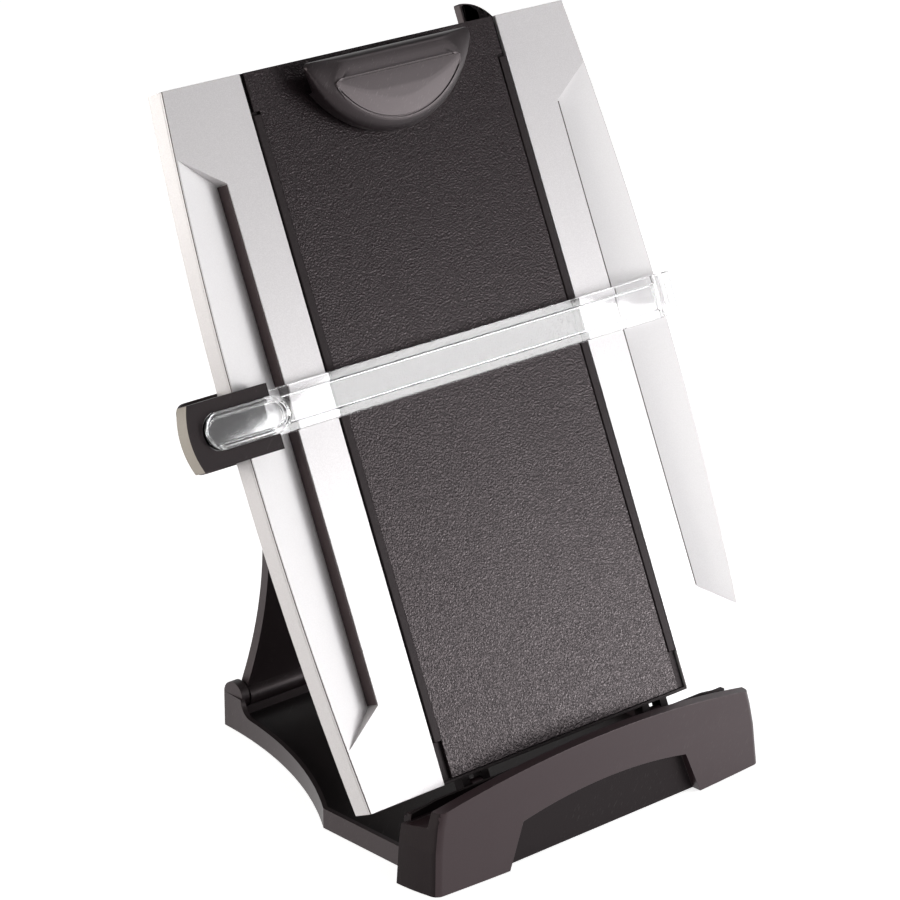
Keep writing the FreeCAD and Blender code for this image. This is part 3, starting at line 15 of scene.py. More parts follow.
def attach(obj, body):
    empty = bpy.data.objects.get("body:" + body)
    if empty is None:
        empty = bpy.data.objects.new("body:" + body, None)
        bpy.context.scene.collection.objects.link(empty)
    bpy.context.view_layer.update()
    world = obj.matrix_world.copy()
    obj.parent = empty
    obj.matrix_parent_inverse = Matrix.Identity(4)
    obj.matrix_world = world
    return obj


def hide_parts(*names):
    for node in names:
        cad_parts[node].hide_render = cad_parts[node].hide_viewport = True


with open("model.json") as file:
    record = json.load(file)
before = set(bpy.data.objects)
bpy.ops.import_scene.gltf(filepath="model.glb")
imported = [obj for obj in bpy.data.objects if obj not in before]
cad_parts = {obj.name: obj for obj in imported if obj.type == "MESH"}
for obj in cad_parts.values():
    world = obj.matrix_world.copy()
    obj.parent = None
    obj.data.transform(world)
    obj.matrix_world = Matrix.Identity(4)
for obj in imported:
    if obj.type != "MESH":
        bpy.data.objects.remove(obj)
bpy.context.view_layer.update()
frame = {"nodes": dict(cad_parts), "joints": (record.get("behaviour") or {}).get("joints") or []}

WELD = 2e-6
NODE_SPACING = 190
FLAT_JOIN = math.radians(0.5)
CURVE_SHARP = math.radians(32.0)

Colour = tuple[float, float, float]
Point = tuple[float, float, float]
Pair = tuple[float, float]
Sockets = dict[str, bpy.types.NodeSocket]
Feeds = dict[int | str, object]

log = logging.getLogger("copy_holder")


class Side(Enum):
    """The two sides of the panel, as the sign of X."""

    LEFT = -1
    RIGHT = 1

    @property
    def word(self) -> str:
        """The side's name as the nodes spell it."""
        return self.name.lower()


class Body(Enum):
    """The moving bodies of the holder."""

    BASE = "base"
    PANEL = "panel"
    CLIP = "clip"
    GUIDE = "guide"
    MEMO = "memo"
    STRUT = "strut"


class Slot(Enum):
    """The record's material slots."""

    SILVER = "silver_plastic"
    BLACK = "black_plastic"
    TEXTURED = "textured_black"
    CLEAR = "clear_plastic"
    RUBBER = "black_rubber"
    NYLON = "white_nylon"
    STEEL = "bright_steel"


# --- coordinates --------------------------------------------------------------------------------


@dataclass(frozen=True)
class PinPlace:
    """Where the clip's pin sits on the panel, in metres."""

    rise: float = 0.293
    out: float = 0.0055
    clip_tilt: float = math.radians(10.24)


class PanelSpace:
    """Coordinates on the leaning panel: across, up its face and out of its face."""

    def __init__(self, pin: PinPlace) -> None:
        """Read the lean from the guide's slide and the panel's foot from the clip's pin.

        Args:
            pin: Where the clip's pin sits on the panel.
        """
        joints = {joint["name"]: joint for joint in frame["joints"]}
        self.pin = pin
        self.up = Vector(joints["guide_slide"]["axis"]).normalized()
        self.out = Vector((0.0, -self.up.z, self.up.y))
        self.foot = Vector(joints["clip_rock"]["pos_m"]) - self.up * pin.rise - self.out * pin.out

    def world(self, across: float, up: float, out: float) -> Vector:
        """Turn a panel point into the row frame.

        Args:
            across: Metres towards the reader's right.
            up: Metres up the face from the panel's foot.
            out: Metres out of the face.

        Returns:
            The point in the row frame.
        """
        return self.foot + Vector((across, 0.0, 0.0)) + self.up * up + self.out * out

    def clip(self, across: float, along: float, out: float) -> Vector:
        """Turn a point of the tilted clip, measured from its pin, into the row frame."""
        turn = self.pin.clip_tilt
        up = self.pin.rise + along * math.cos(turn) - out * math.sin(turn)
        rise = self.pin.out + along * math.sin(turn) + out * math.cos(turn)
        return self.world(across, up, rise)


SPACE = PanelSpace(PinPlace())


# --- mesh helpers -------------------------------------------------------------------------------


@dataclass(frozen=True)
class Edges:
    """How a piece's sharp edges are rounded."""

    width: float
    segments: int = 3
    angle: float = 30.0
    crease: float = 14.0


def welded(mesh: bpy.types.Mesh) -> bmesh.types.BMesh:
    """Open a mesh for work, with its doubled points joined."""
    work = bmesh.new()
    work.from_mesh(mesh)
    bmesh.ops.remove_doubles(work, verts=work.verts, dist=WELD)
    return work


def put_back(work: bmesh.types.BMesh, mesh: bpy.types.Mesh) -> bpy.types.Mesh:
    """Turn the normals outwards and put the work back into its mesh."""
    bmesh.ops.recalc_face_normals(work, faces=work.faces)
    work.to_mesh(mesh)
    work.free()
    return mesh


def add_object(name: str, data: bpy.types.ID | None) -> bpy.types.Object:
    """Put a new object with this data into the scene."""
    thing = bpy.data.objects.new(name, data)
    bpy.context.scene.collection.objects.link(thing)
    return thing


class MeshDraft:
    """Collects faces by their corner points and joins shared corners at the end."""

    def __init__(self, name: str) -> None:
        """Start an empty draft."""
        self.name = name
        self.points: list[Vector] = []
        self.faces: list[list[int]] = []

    def face(self, *corners: Vector) -> None:
        """Add one face by its corners."""
        start = len(self.points)
        self.points.extend(corners)
        self.faces.append(list(range(start, start + len(corners))))

    def painted_lit_side(self, first: list[Vector], second: list[Vector], closed: bool = True) -> None:
        """Join two rows of points of the same length by quads.

        Args:
            first: Points of the first row.
            second: Points of the second row.
            closed: Whether the last points join the first ones.
        """
        count = len(first)
        for index in range(count if closed else count - 1):
            after = (index + 1) % count
            self.face(first[index], first[after], second[after], second[index])

    def bands(self, rows: list[list[Vector]], closed: bool = True) -> None:
        """Join each row of points to the next one."""
        for first, second in zip(rows, rows[1:]):
            self.painted_lit_side(first, second, closed)

    def mesh(self) -> bpy.types.Mesh:
        """Join the faces into a mesh whose normals point outwards."""
        mesh = bpy.data.meshes.new(self.name)
        mesh.from_pydata([tuple(point) for point in self.points], [], self.faces)
        return put_back(welded(mesh), mesh)


def dress(mesh: bpy.types.Mesh, name: str, finish: "Finish", edges: Edges) -> bpy.types.Object:
    """Make an object of a mesh, with one finish and rounded edges.

    Args:
        mesh: The mesh, with its place in its vertices.
        name: The piece's name.
        finish: The finish of the whole piece.
        edges: How sharp edges are rounded.

    Returns:
        The new object.
    """
    mesh.name = name
    mesh.materials.clear()
    mesh.materials.append(finish.material)
    mesh.shade_smooth()
    piece = add_object(name, mesh)
    mesh.set_sharp_from_angle(angle=math.radians(edges.crease))
    bevel = piece.modifiers.new("soft_edges", "BEVEL")
    bevel.width = edges.width
    bevel.segments = edges.segments
    bevel.limit_method = "ANGLE"
    bevel.angle_limit = math.radians(edges.angle)
    bevel.miter_outer = "MITER_ARC"
    weights = piece.modifiers.new("flat_faces", "WEIGHTED_NORMAL")
    weights.keep_sharp = True
    return piece


def settle(piece: bpy.types.Object, body: Body, slot: Slot, *nodes: str) -> bpy.types.Object:
    """Let a piece ride on its body and stand for its CAD nodes.

    Args:
        piece: The finished object.
        body: The body it moves with.
        slot: The record's material slot; not used.
        nodes: The CAD nodes it stands for.

    Returns:
        The same object.
    """
    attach(piece, body.value)
    if nodes:
        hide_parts(*nodes)
    log.info("%s rides on %s", piece.name, body.value)
    return piece


def softened(node: str, body: Body, slot: Slot, finish: "Finish", edges: Edges
             ) -> bpy.types.Object:
    """Stand a rounded copy of a CAD node in its place.

    Args:
        node: Name of the CAD node.
        body: The body it moves with.
        slot: The record's material slot.
        finish: The finish of the whole piece.
        edges: How its edges are rounded.

    Returns:
        The piece.
    """
    mesh = frame["nodes"][node].data.copy()
    work = welded(mesh)
    bmesh.ops.dissolve_limit(work, angle_limit=FLAT_JOIN, verts=work.verts, edges=work.edges)
    put_back(work, mesh)
    return settle(dress(mesh, f"{node}_dressed", finish, edges), body, slot, node)


def coat(piece: bpy.types.Object, finish: "Finish", chosen: Callable[[Vector, Vector], bool]
         ) -> None:
    """Give some faces of a piece a second finish.

    Args:
        piece: The piece.
        finish: The second finish.
        chosen: Whether a face gets it, from its middle and its normal.
    """
    piece.data.materials.append(finish.material)
    number = len(piece.data.materials) - 1
    for face in piece.data.polygons:
        if chosen(face.center, face.normal):
            face.material_index = number


# --- shader groups ------------------------------------------------------------------------------


class NodeSheet:
    """Adds and links the nodes of one tree."""

    def __init__(self, tree: bpy.types.NodeTree) -> None:
        """Start on a node tree."""
        self.tree = tree
        self.column = 0

    def add(self, kind: str, **settings: object) -> bpy.types.Node:
        """Add a node and set its plain properties.

        Args:
            kind: The node's type name.
            settings: Properties to set on it.

        Returns:
            The new node.
        """
        node = self.tree.nodes.new(kind)
        node.location = (self.column * NODE_SPACING, 0)
        self.column += 1
        for name, value in settings.items():
            setattr(node, name, value)
        return node

    def link(self, source: bpy.types.NodeSocket, target: bpy.types.NodeSocket) -> None:
        """Join two sockets."""
        self.tree.links.new(source, target)

    def feed(self, socket: bpy.types.NodeSocket, value: object) -> None:
        """Link a socket into another one, or set a plain value on it."""
        if isinstance(value, bpy.types.NodeSocket):
            self.link(value, socket)
        else:
            socket.default_value = value

    def fill(self, node: bpy.types.Node, inputs: Feeds) -> bpy.types.Node:
        """Feed several inputs of a node by their names or numbers."""
        for key, value in inputs.items():
            self.feed(node.inputs[key], value)
        return node

    def node(self, kind: str, inputs: Feeds, **settings: object) -> bpy.types.Node:
        """Add a node, set its properties and feed its inputs.

        Args:
            kind: The node's type name.
            inputs: Input names or numbers with their values or sockets.
            settings: Properties to set on it.

        Returns:
            The new node.
        """
        return self.fill(self.add(kind, **settings), inputs)

    def maths(self, operation: str, first: object, second: object = 0.0) -> bpy.types.NodeSocket:
        """A Math node on two values or sockets.

        Args:
            operation: Name of the operation.
            first: A number or an output socket.
            second: A number or an output socket.

        Returns:
            The output socket.
        """
        return self.node("ShaderNodeMath", {0: first, 1: second}, operation=operation).outputs[0]

    def product(self, first: object, *others: object) -> bpy.types.NodeSocket:
        """The product of two or more values or sockets, from left to right."""
        for other in others:
            first = self.maths("MULTIPLY", first, other)
        return first

    def mix(self, factor: object, first: object, second: object) -> bpy.types.NodeSocket:
        """A colour mix of two colours or sockets.

        Args:
            factor: Share of the second colour, a number or a socket.
            first: The first colour or socket.
            second: The second colour or socket.

        Returns:
            The mixed colour's socket.
        """
        opaque = [value if isinstance(value, bpy.types.NodeSocket) else (*value, 1.0)
                  for value in (first, second)]
        # A Mix node keeps its colours apart from its floats and vectors, by these numbers.
        inputs = {0: factor, 6: opaque[0], 7: opaque[1]}
        return self.node("ShaderNodeMix", inputs, data_type="RGBA").outputs[2]

    def place(self) -> bpy.types.NodeSocket:
        """The Object coordinates."""
        return self.add("ShaderNodeTexCoord").outputs["Object"]

    def rays(self, kind: str) -> bpy.types.NodeSocket:
        """1 for the rays of a kind, such as Camera or Glossy."""
        return self.add("ShaderNodeLightPath").outputs[f"Is {kind} Ray"]

    def noise(self, scale: object, detail: float = 2.0, stretch: Point | None = None,
              turn: Point = (0.0, 0.0, 0.0)) -> bpy.types.NodeSocket:
        """A noise value in Object coordinates.

        Args:
            scale: Features per metre, a number or a socket.
            detail: Octaves of the noise.
            stretch: Scale of each axis before the noise, or None for none.
            turn: Turn of the coordinates before the stretch, in radians.

        Returns:
            The noise's value socket.
        """
        place = self.place()
        if stretch is not None:
            inputs = {"Vector": place, "Rotation": turn,
                      "Scale": tuple(1.0 / part for part in stretch)}
            mapping = self.node("ShaderNodeMapping", inputs, vector_type="TEXTURE")
            place = mapping.outputs["Vector"]
        inputs = {"Vector": place, "Scale": scale, "Detail": detail}
        return self.node("ShaderNodeTexNoise", inputs).outputs["Fac"]

    def bump(self, height: object, distance: float) -> bpy.types.NodeSocket:
        """The normal of a surface that is raised by a height of at most a distance."""
        inputs = {"Height": height, "Distance": distance}
        return self.node("ShaderNodeBump", inputs).outputs["Normal"]


def new_group(name: str, inputs: dict[str, tuple[str, object]], outputs: dict[str, str]
              ) -> tuple[NodeSheet, Sockets, Sockets]:
    """Make an empty shader group with named sockets.

    Args:
        name: The group's name.
        inputs: Socket name to its kind and default value.
        outputs: Socket name to its kind.

    Returns:
        The sheet, the group's own input sockets and its own output sockets.
    """
    tree = bpy.data.node_groups.new(name, "ShaderNodeTree")
    for label, (kind, value) in inputs.items():
        socket = tree.interface.new_socket(label, in_out="INPUT", socket_type=f"NodeSocket{kind}")
        socket.default_value = value
    for label, kind in outputs.items():
        tree.interface.new_socket(label, in_out="OUTPUT", socket_type=f"NodeSocket{kind}")
    sheet = NodeSheet(tree)
    entry = sheet.add("NodeGroupInput")
    leave = sheet.add("NodeGroupOutput")
    return sheet, dict(entry.outputs.items()), dict(leave.inputs.items())


@dataclass(frozen=True)
class GrainLook:
    """How moulded grain is made up of rounded pebbles and a finer tooth."""

    smoothness: float = 0.6
    tooth_detail: float = 1.5
    tooth_share: float = 0.6
    speckle_low: float = 0.38
    speckle_high: float = 0.66

    def build(self) -> bpy.types.NodeTree:
        """Build the group, which puts out a height and a speckle mask."""
        sheet, given, made = new_group(
            "moulded_grain",
            {"Pebbles": ("Float", 900.0), "Tooth": ("Float", 2600.0)},
            {"Height": "Float", "Speckle": "Float"})
        pebble = sheet.node("ShaderNodeTexVoronoi",
                            {"Vector": sheet.place(), "Scale": given["Pebbles"],
                             "Smoothness": self.smoothness}, feature="SMOOTH_F1")
        tooth = sheet.noise(given["Tooth"], detail=self.tooth_detail)
        dome = sheet.maths("SUBTRACT", 1.0, pebble.outputs["Distance"])
        sheet.link(sheet.maths("ADD", dome, sheet.product(tooth, self.tooth_share)),
                   made["Height"])
        spread = sheet.node("ShaderNodeMapRange",
                            {"Value": tooth, "From Min": self.speckle_low,
                             "From Max": self.speckle_high})
        sheet.link(spread.outputs["Result"], made["Speckle"])
        return sheet.tree


@dataclass(frozen=True)
class WearLook:
    """How handling wear shows: cloudy sheen, faint scuffs and dust on faces that look up."""

    cloud_scale: float = 16.0
    cloud_detail: float = 4.0
    scuff_stretch: Point = (60.0, 2600.0, 400.0)
    scuff_turn: Point = (0.4, 0.3, 0.8)
    scuff_share: float = 0.74
    cloud_middle: float = 0.5
    scuff_polish: float = 0.4
    scuff_paleness: float = 0.25
    dust_colour: Colour = (0.50, 0.48, 0.46)

    def build(self) -> bpy.types.NodeTree:
        """Build the group, which puts out a worn colour and a worn roughness."""
        sheet, given, made = new_group(
            "handling_wear",
            {"Color": ("Color", (0.5, 0.5, 0.5, 1.0)), "Dust": ("Float", 0.05),
             "Clouds": ("Float", 0.08), "Scuffs": ("Float", 0.1), "Roughness": ("Float", 0.5)},
            {"Color": "Color", "Roughness": "Float"})
        cloud = sheet.noise(self.cloud_scale, detail=self.cloud_detail)
        scratch = sheet.noise(1.0, detail=0.0, stretch=self.scuff_stretch, turn=self.scuff_turn)
        scuffs = sheet.product(sheet.maths("GREATER_THAN", scratch, self.scuff_share),
                               sheet.maths("GREATER_THAN", cloud, self.cloud_middle),
                               given["Scuffs"])
        swing = sheet.product(sheet.maths("SUBTRACT", cloud, self.cloud_middle), given["Clouds"])
        rough = sheet.maths("ADD", given["Roughness"], swing)
        polish = sheet.product(scuffs, self.scuff_polish)
        sheet.link(sheet.maths("SUBTRACT", rough, polish), made["Roughness"])
        normal = sheet.add("ShaderNodeNewGeometry").outputs["Normal"]
        split = sheet.node("ShaderNodeSeparateXYZ", {0: normal})
        upward = sheet.maths("MAXIMUM", split.outputs["Z"], 0.0)
        dust = sheet.product(upward, given["Dust"], cloud)
        pale = sheet.maths("ADD", dust, sheet.product(scuffs, self.scuff_paleness))
        sheet.link(sheet.mix(pale, given["Color"], self.dust_colour), made["Color"])
        return sheet.tree


GRAIN = GrainLook().build()
WEAR = WearLook().build()


# --- finishes -----------------------------------------------------------------------------------


def new_material(name: str) -> tuple[bpy.types.Material, NodeSheet, bpy.types.Node]:
    """Start a node material and hand back its sheet and its Principled shader."""
    material = bpy.data.materials.new(name)
    material.use_nodes = True
    sheet = NodeSheet(material.node_tree)
    return material, sheet, material.node_tree.nodes["Principled BSDF"]


@dataclass(frozen=True)
class MouldedPlastic:
    """Opaque moulded plastic or rubber with a grain, a faint speckle and handling wear."""

    name: str
    colour: Colour
    speckle_colour: Colour
    roughness: float
    pebbles: float
    tooth: float
    relief: float
    speckle: float = 0.3
    dust: float = 0.05
    clouds: float = 0.08
    scuffs: float = 0.1
    metallic: float = 0.0
    specular: float = 0.5
    tint: Colour = (1.0, 1.0, 1.0)
    sparkle: float = 0.0
    mean_speckle: float = 0.5

    def build(self) -> bpy.types.Material:
        """Build the node material."""
        material, sheet, shader = new_material(self.name)
        grain = sheet.node("ShaderNodeGroup", {"Pebbles": self.pebbles, "Tooth": self.tooth},
                           node_tree=GRAIN)
        speckle = grain.outputs["Speckle"]
        tint = sheet.mix(sheet.product(speckle, self.speckle), self.colour, self.speckle_colour)
        wear = sheet.node("ShaderNodeGroup",
                          {"Color": tint, "Dust": self.dust, "Clouds": self.clouds,
                           "Scuffs": self.scuffs, "Roughness": self.roughness}, node_tree=WEAR)
        polish = sheet.product(sheet.maths("SUBTRACT", speckle, self.mean_speckle), self.sparkle)
        sheet.fill(shader, {
            "Base Color": wear.outputs["Color"],
            "Roughness": sheet.maths("SUBTRACT", wear.outputs["Roughness"], polish),
            "Normal": sheet.bump(grain.outputs["Height"], self.relief),
            "Metallic": self.metallic,
            "Specular IOR Level": self.specular,
            "Specular Tint": (*self.tint, 1.0)})
        return material


@dataclass(frozen=True)
class ClearPlastic:
    """Clear polished plastic with faint moulding flow in its surface."""

    name: str
    colour: Colour = (0.985, 0.985, 0.99)
    shade: float = 0.99
    roughness: float = 0.02
    haze: float = 0.02
    flow: float = 0.00003
    flow_scale: float = 60.0
    index: float = 1.49

    def build(self) -> bpy.types.Material:
        """Build the node material."""
        material, sheet, shader = new_material(self.name)
        ripple = sheet.noise(self.flow_scale, detail=1.0)
        darker = tuple(self.shade * part for part in self.colour)
        sheet.fill(shader, {
            "Base Color": sheet.mix(ripple, self.colour, darker),
            "Roughness": sheet.maths("ADD", self.roughness, sheet.product(ripple, self.haze)),
            "Normal": sheet.bump(ripple, self.flow),
            "IOR": self.index,
            "Transmission Weight": 1.0})
        return material


@dataclass(frozen=True)
class GroundSteel:
    """Bright steel with fine turning marks."""

    name: str
    colour: Colour = (0.62, 0.62, 0.64)
    roughness: float = 0.28
    swing: float = 0.2
    shade: float = 0.8
    marks: float = 4000.0
    mark_length: float = 10.0
    mark_depth: float = 0.00001

    def build(self) -> bpy.types.Material:
        """Build the node material."""
        material, sheet, shader = new_material(self.name)
        along = self.marks / self.mark_length
        turned = sheet.noise(1.0, detail=1.0, stretch=(self.marks, along, along))
        low = self.roughness - self.swing / 2
        darker = tuple(self.shade * part for part in self.colour)
        sheet.fill(shader, {
            "Base Color": sheet.mix(turned, darker, self.colour),
            "Roughness": sheet.maths("ADD", low, sheet.product(turned, self.swing)),
            "Normal": sheet.bump(turned, self.mark_depth),
            "Metallic": 1.0})
        return material


PLUM: Colour = (1.0, 0.86, 0.89)


class Finish(Enum):
    """Every finish on the holder, with lighter and darker copies that paint light and shade onto
    some pieces and faces.
    """

    SILVER = MouldedPlastic(
        "silver_satin", (0.55, 0.53, 0.54), (0.68, 0.66, 0.67), 0.34, 2600.0, 2200.0, 0.000008,
        speckle=0.5, dust=0.0, clouds=0.03, scuffs=0.0, metallic=0.2)
    BLACK = MouldedPlastic(
        "black_satin", (0.012, 0.008, 0.009), (0.026, 0.018, 0.020), 0.42, 2400.0, 3200.0,
        0.000012, speckle=0.5, dust=0.02, tint=PLUM)
    # Satin black for the front moulding. It is lighter than the black plastic, which paints light
    # on its front; the satin roughness and plum tone are its own.
    SATIN = MouldedPlastic(
        "front_satin_and_painted_light", (0.017, 0.0085, 0.0105), (0.029, 0.016, 0.019), 0.33, 2400.0, 3200.0,
        0.000012, speckle=0.5, dust=0.02, tint=PLUM)
    PEBBLED = MouldedPlastic(
        "black_pebbled", (0.001, 0.0006, 0.0008), (0.064, 0.045, 0.051), 0.32, 1200.0, 1400.0,
        0.00012, dust=0.0, scuffs=0.0, specular=0.24, tint=PLUM, sparkle=0.35)
    # Matt black plastic for whole pieces. As a coat on the moulding's ends and cut-out and on the
    # tray floor, it is painted shade.
    MATT = MouldedPlastic(
        "black_matt_and_painted_shade", (0.006, 0.0038, 0.0045), (0.012, 0.008, 0.009), 0.5, 1800.0, 2400.0,
        0.00003, speckle=0.4, specular=0.15, tint=PLUM)
    # A lighter copy of the silver plastic: painted light on the sunken facets, which are the same
    # plastic as the flats.
    PAINTED_LIT_SILVER = MouldedPlastic(
        "silver_painted_light", (0.80, 0.78, 0.79), (0.88, 0.865, 0.875), 0.45, 2600.0, 2200.0, 0.000008,
        speckle=0.5, dust=0.0, clouds=0.03, scuffs=0.0, metallic=0.05)
    LINER = MouldedPlastic(
        "liner_matt", (0.055, 0.040, 0.042), (0.075, 0.056, 0.058), 0.6, 2400.0, 2400.0, 0.00001,
        speckle=0.4, scuffs=0.0, specular=0.2)
    # Warm grey painted light for the housing's left side, which is lit from the left.
    PAINTED_LIT_SIDE = MouldedPlastic(
        "warm_grey_painted_light", (0.27, 0.245, 0.215), (0.33, 0.30, 0.27), 0.5, 2400.0, 3200.0, 0.00001,
        speckle=0.4, dust=0.0)
    SMOOTH = MouldedPlastic(
        "black_smooth", (0.007, 0.005, 0.006), (0.016, 0.011, 0.013), 0.37, 1200.0, 2000.0,
        0.000006, speckle=0.4, clouds=0.12, scuffs=0.12, specular=0.4, tint=PLUM)
    RUBBER = MouldedPlastic(
        "black_rubber_matt", (0.022, 0.022, 0.022), (0.05, 0.05, 0.05), 0.8, 1500.0, 2400.0,
        0.00005, dust=0.2)
    NYLON = MouldedPlastic(
        "white_nylon_smooth", (0.74, 0.73, 0.69), (0.80, 0.79, 0.76), 0.45, 900.0, 1500.0,
        0.00001, dust=0.0)
    CLEAR = ClearPlastic("clear_acrylic")
    STEEL = GroundSteel("ground_steel")
    DARK_STEEL = GroundSteel("blackened_steel", (0.06, 0.05, 0.05), 0.4)

    @property
    def material(self) -> bpy.types.Material:
        """The finish's node material, built when it is first asked for."""
        return bpy.data.materials.get(self.value.name) or self.value.build()


# --- repeated parts by geometry nodes -----------------------------------------------------------


class GeometryTree(NodeSheet):
    """A geometry node tree with named inputs that is run once and baked."""

    def __init__(self, name: str) -> None:
        """Make the tree with a geometry socket at each end."""
        super().__init__(bpy.data.node_groups.new(name, "GeometryNodeTree"))
        for way in ("INPUT", "OUTPUT"):
            self.tree.interface.new_socket("Geometry", in_out=way,
                                           socket_type="NodeSocketGeometry")
        self.entry = self.add("NodeGroupInput")
        self.leave = self.add("NodeGroupOutput")
        self.values: dict[str, object] = {}

    def given(self, name: str, kind: str, value: object) -> bpy.types.NodeSocket:
        """Add a named input with its value and hand back its socket.

        Args:
            name: The input's name.
            kind: The socket's kind, such as Float or Vector.
            value: The value that this run uses.

        Returns:
            The socket inside the tree.
        """
        socket = self.tree.interface.new_socket(name, in_out="INPUT",
                                                socket_type=f"NodeSocket{kind}")
        self.values[socket.identifier] = value
        return self.entry.outputs[name]

    def vector(self, **parts: object) -> bpy.types.NodeSocket:
        """A vector from its X, Y and Z, each a number or a socket."""
        return self.node("ShaderNodeCombineXYZ", parts).outputs[0]

    def solid(self, shape: str, inputs: Feeds) -> bpy.types.NodeSocket:
        """The mesh of a primitive, such as Cube or Cylinder."""
        return self.node(f"GeometryNodeMesh{shape}", inputs).outputs["Mesh"]

    def moved(self, geometry: bpy.types.NodeSocket, **inputs: object) -> bpy.types.NodeSocket:
        """A geometry after a Translation, Rotation or Scale."""
        inputs = {"Geometry": geometry, **inputs}
        return self.node("GeometryNodeTransform", inputs).outputs[0]

    def reshaped(self, geometry: bpy.types.NodeSocket, **inputs: object) -> bpy.types.NodeSocket:
        """A geometry with a new Position or an Offset for each of its points."""
        inputs = {"Geometry": geometry, **inputs}
        return self.node("GeometryNodeSetPosition", inputs).outputs[0]

    def copies(self, points: bpy.types.NodeSocket, instance: bpy.types.NodeSocket,
               **inputs: object) -> bpy.types.NodeSocket:
        """One instance on each point."""
        inputs = {"Points": points, "Instance": instance, **inputs}
        return self.node("GeometryNodeInstanceOnPoints", inputs).outputs[0]

    def join(self, *sockets: bpy.types.NodeSocket) -> bpy.types.NodeSocket:
        """Join several geometries into one."""
        made = self.add("GeometryNodeJoinGeometry")
        for socket in sockets:
            self.link(socket, made.inputs[0])
        return made.outputs[0]

    def bake(self, node: str, points: list[Vector], finish: Finish, body: Body, slot: Slot,
             result: bpy.types.NodeSocket) -> bpy.types.Object:
        """Close the tree, run it on a cloud of points and keep the result as a plain mesh.

        Args:
            node: The CAD node that the finished piece stands for.
            points: Places that the tree works on.
            finish: The finish of the whole piece.
            body: The body it moves with.
            slot: The record's material slot.
            result: The geometry that the tree puts out.

        Returns:
            The finished piece.
        """
        name = f"{node}_dressed"
        real = self.node("GeometryNodeRealizeInstances", {0: result}).outputs[0]
        smooth = self.node("GeometryNodeSetShadeSmooth", {0: real}).outputs[0]
        coated = self.node("GeometryNodeSetMaterial",
                           {"Geometry": smooth, "Material": finish.material})
        self.link(coated.outputs[0], self.leave.inputs[0])
        cloud = bpy.data.meshes.new(f"{name}_places")
        cloud.from_pydata([tuple(point) for point in points], [], [])
        maker = add_object(f"{name}_maker", cloud)
        run = maker.modifiers.new("run", "NODES")
        run.node_group = self.tree
        for identifier, value in self.values.items():
            run[identifier] = value
        bpy.context.view_layer.update()
        depsgraph = bpy.context.evaluated_depsgraph_get()
        mesh = bpy.data.meshes.new_from_object(maker.evaluated_get(depsgraph),
                                               depsgraph=depsgraph)
        bpy.data.objects.remove(maker)
        bpy.data.meshes.remove(cloud)
        mesh.name = name
        mesh.set_sharp_from_angle(angle=CURVE_SHARP)
        return settle(add_object(name, mesh), body, slot, node)


@dataclass(frozen=True)
class ScrewSizes:
    """A pan-head screw with a cross recess: metres, shares of the head and segment counts."""

    head_radius: float
    head_height: float
    shank_radius: float
    length: float
    pitch: float = 0.0006
    thread: float = 0.0001
    dome: float = 0.55
    dome_from: float = -0.4
    cross_length: float = 1.1
    cross_width: float = 0.24
    cross_depth: float = 1.2
    head_cut: float = 1e-5
    head_mesh: tuple[int, int, int] = (40, 3, 8)
    shank_mesh: tuple[int, int, int] = (24, 60, 2)


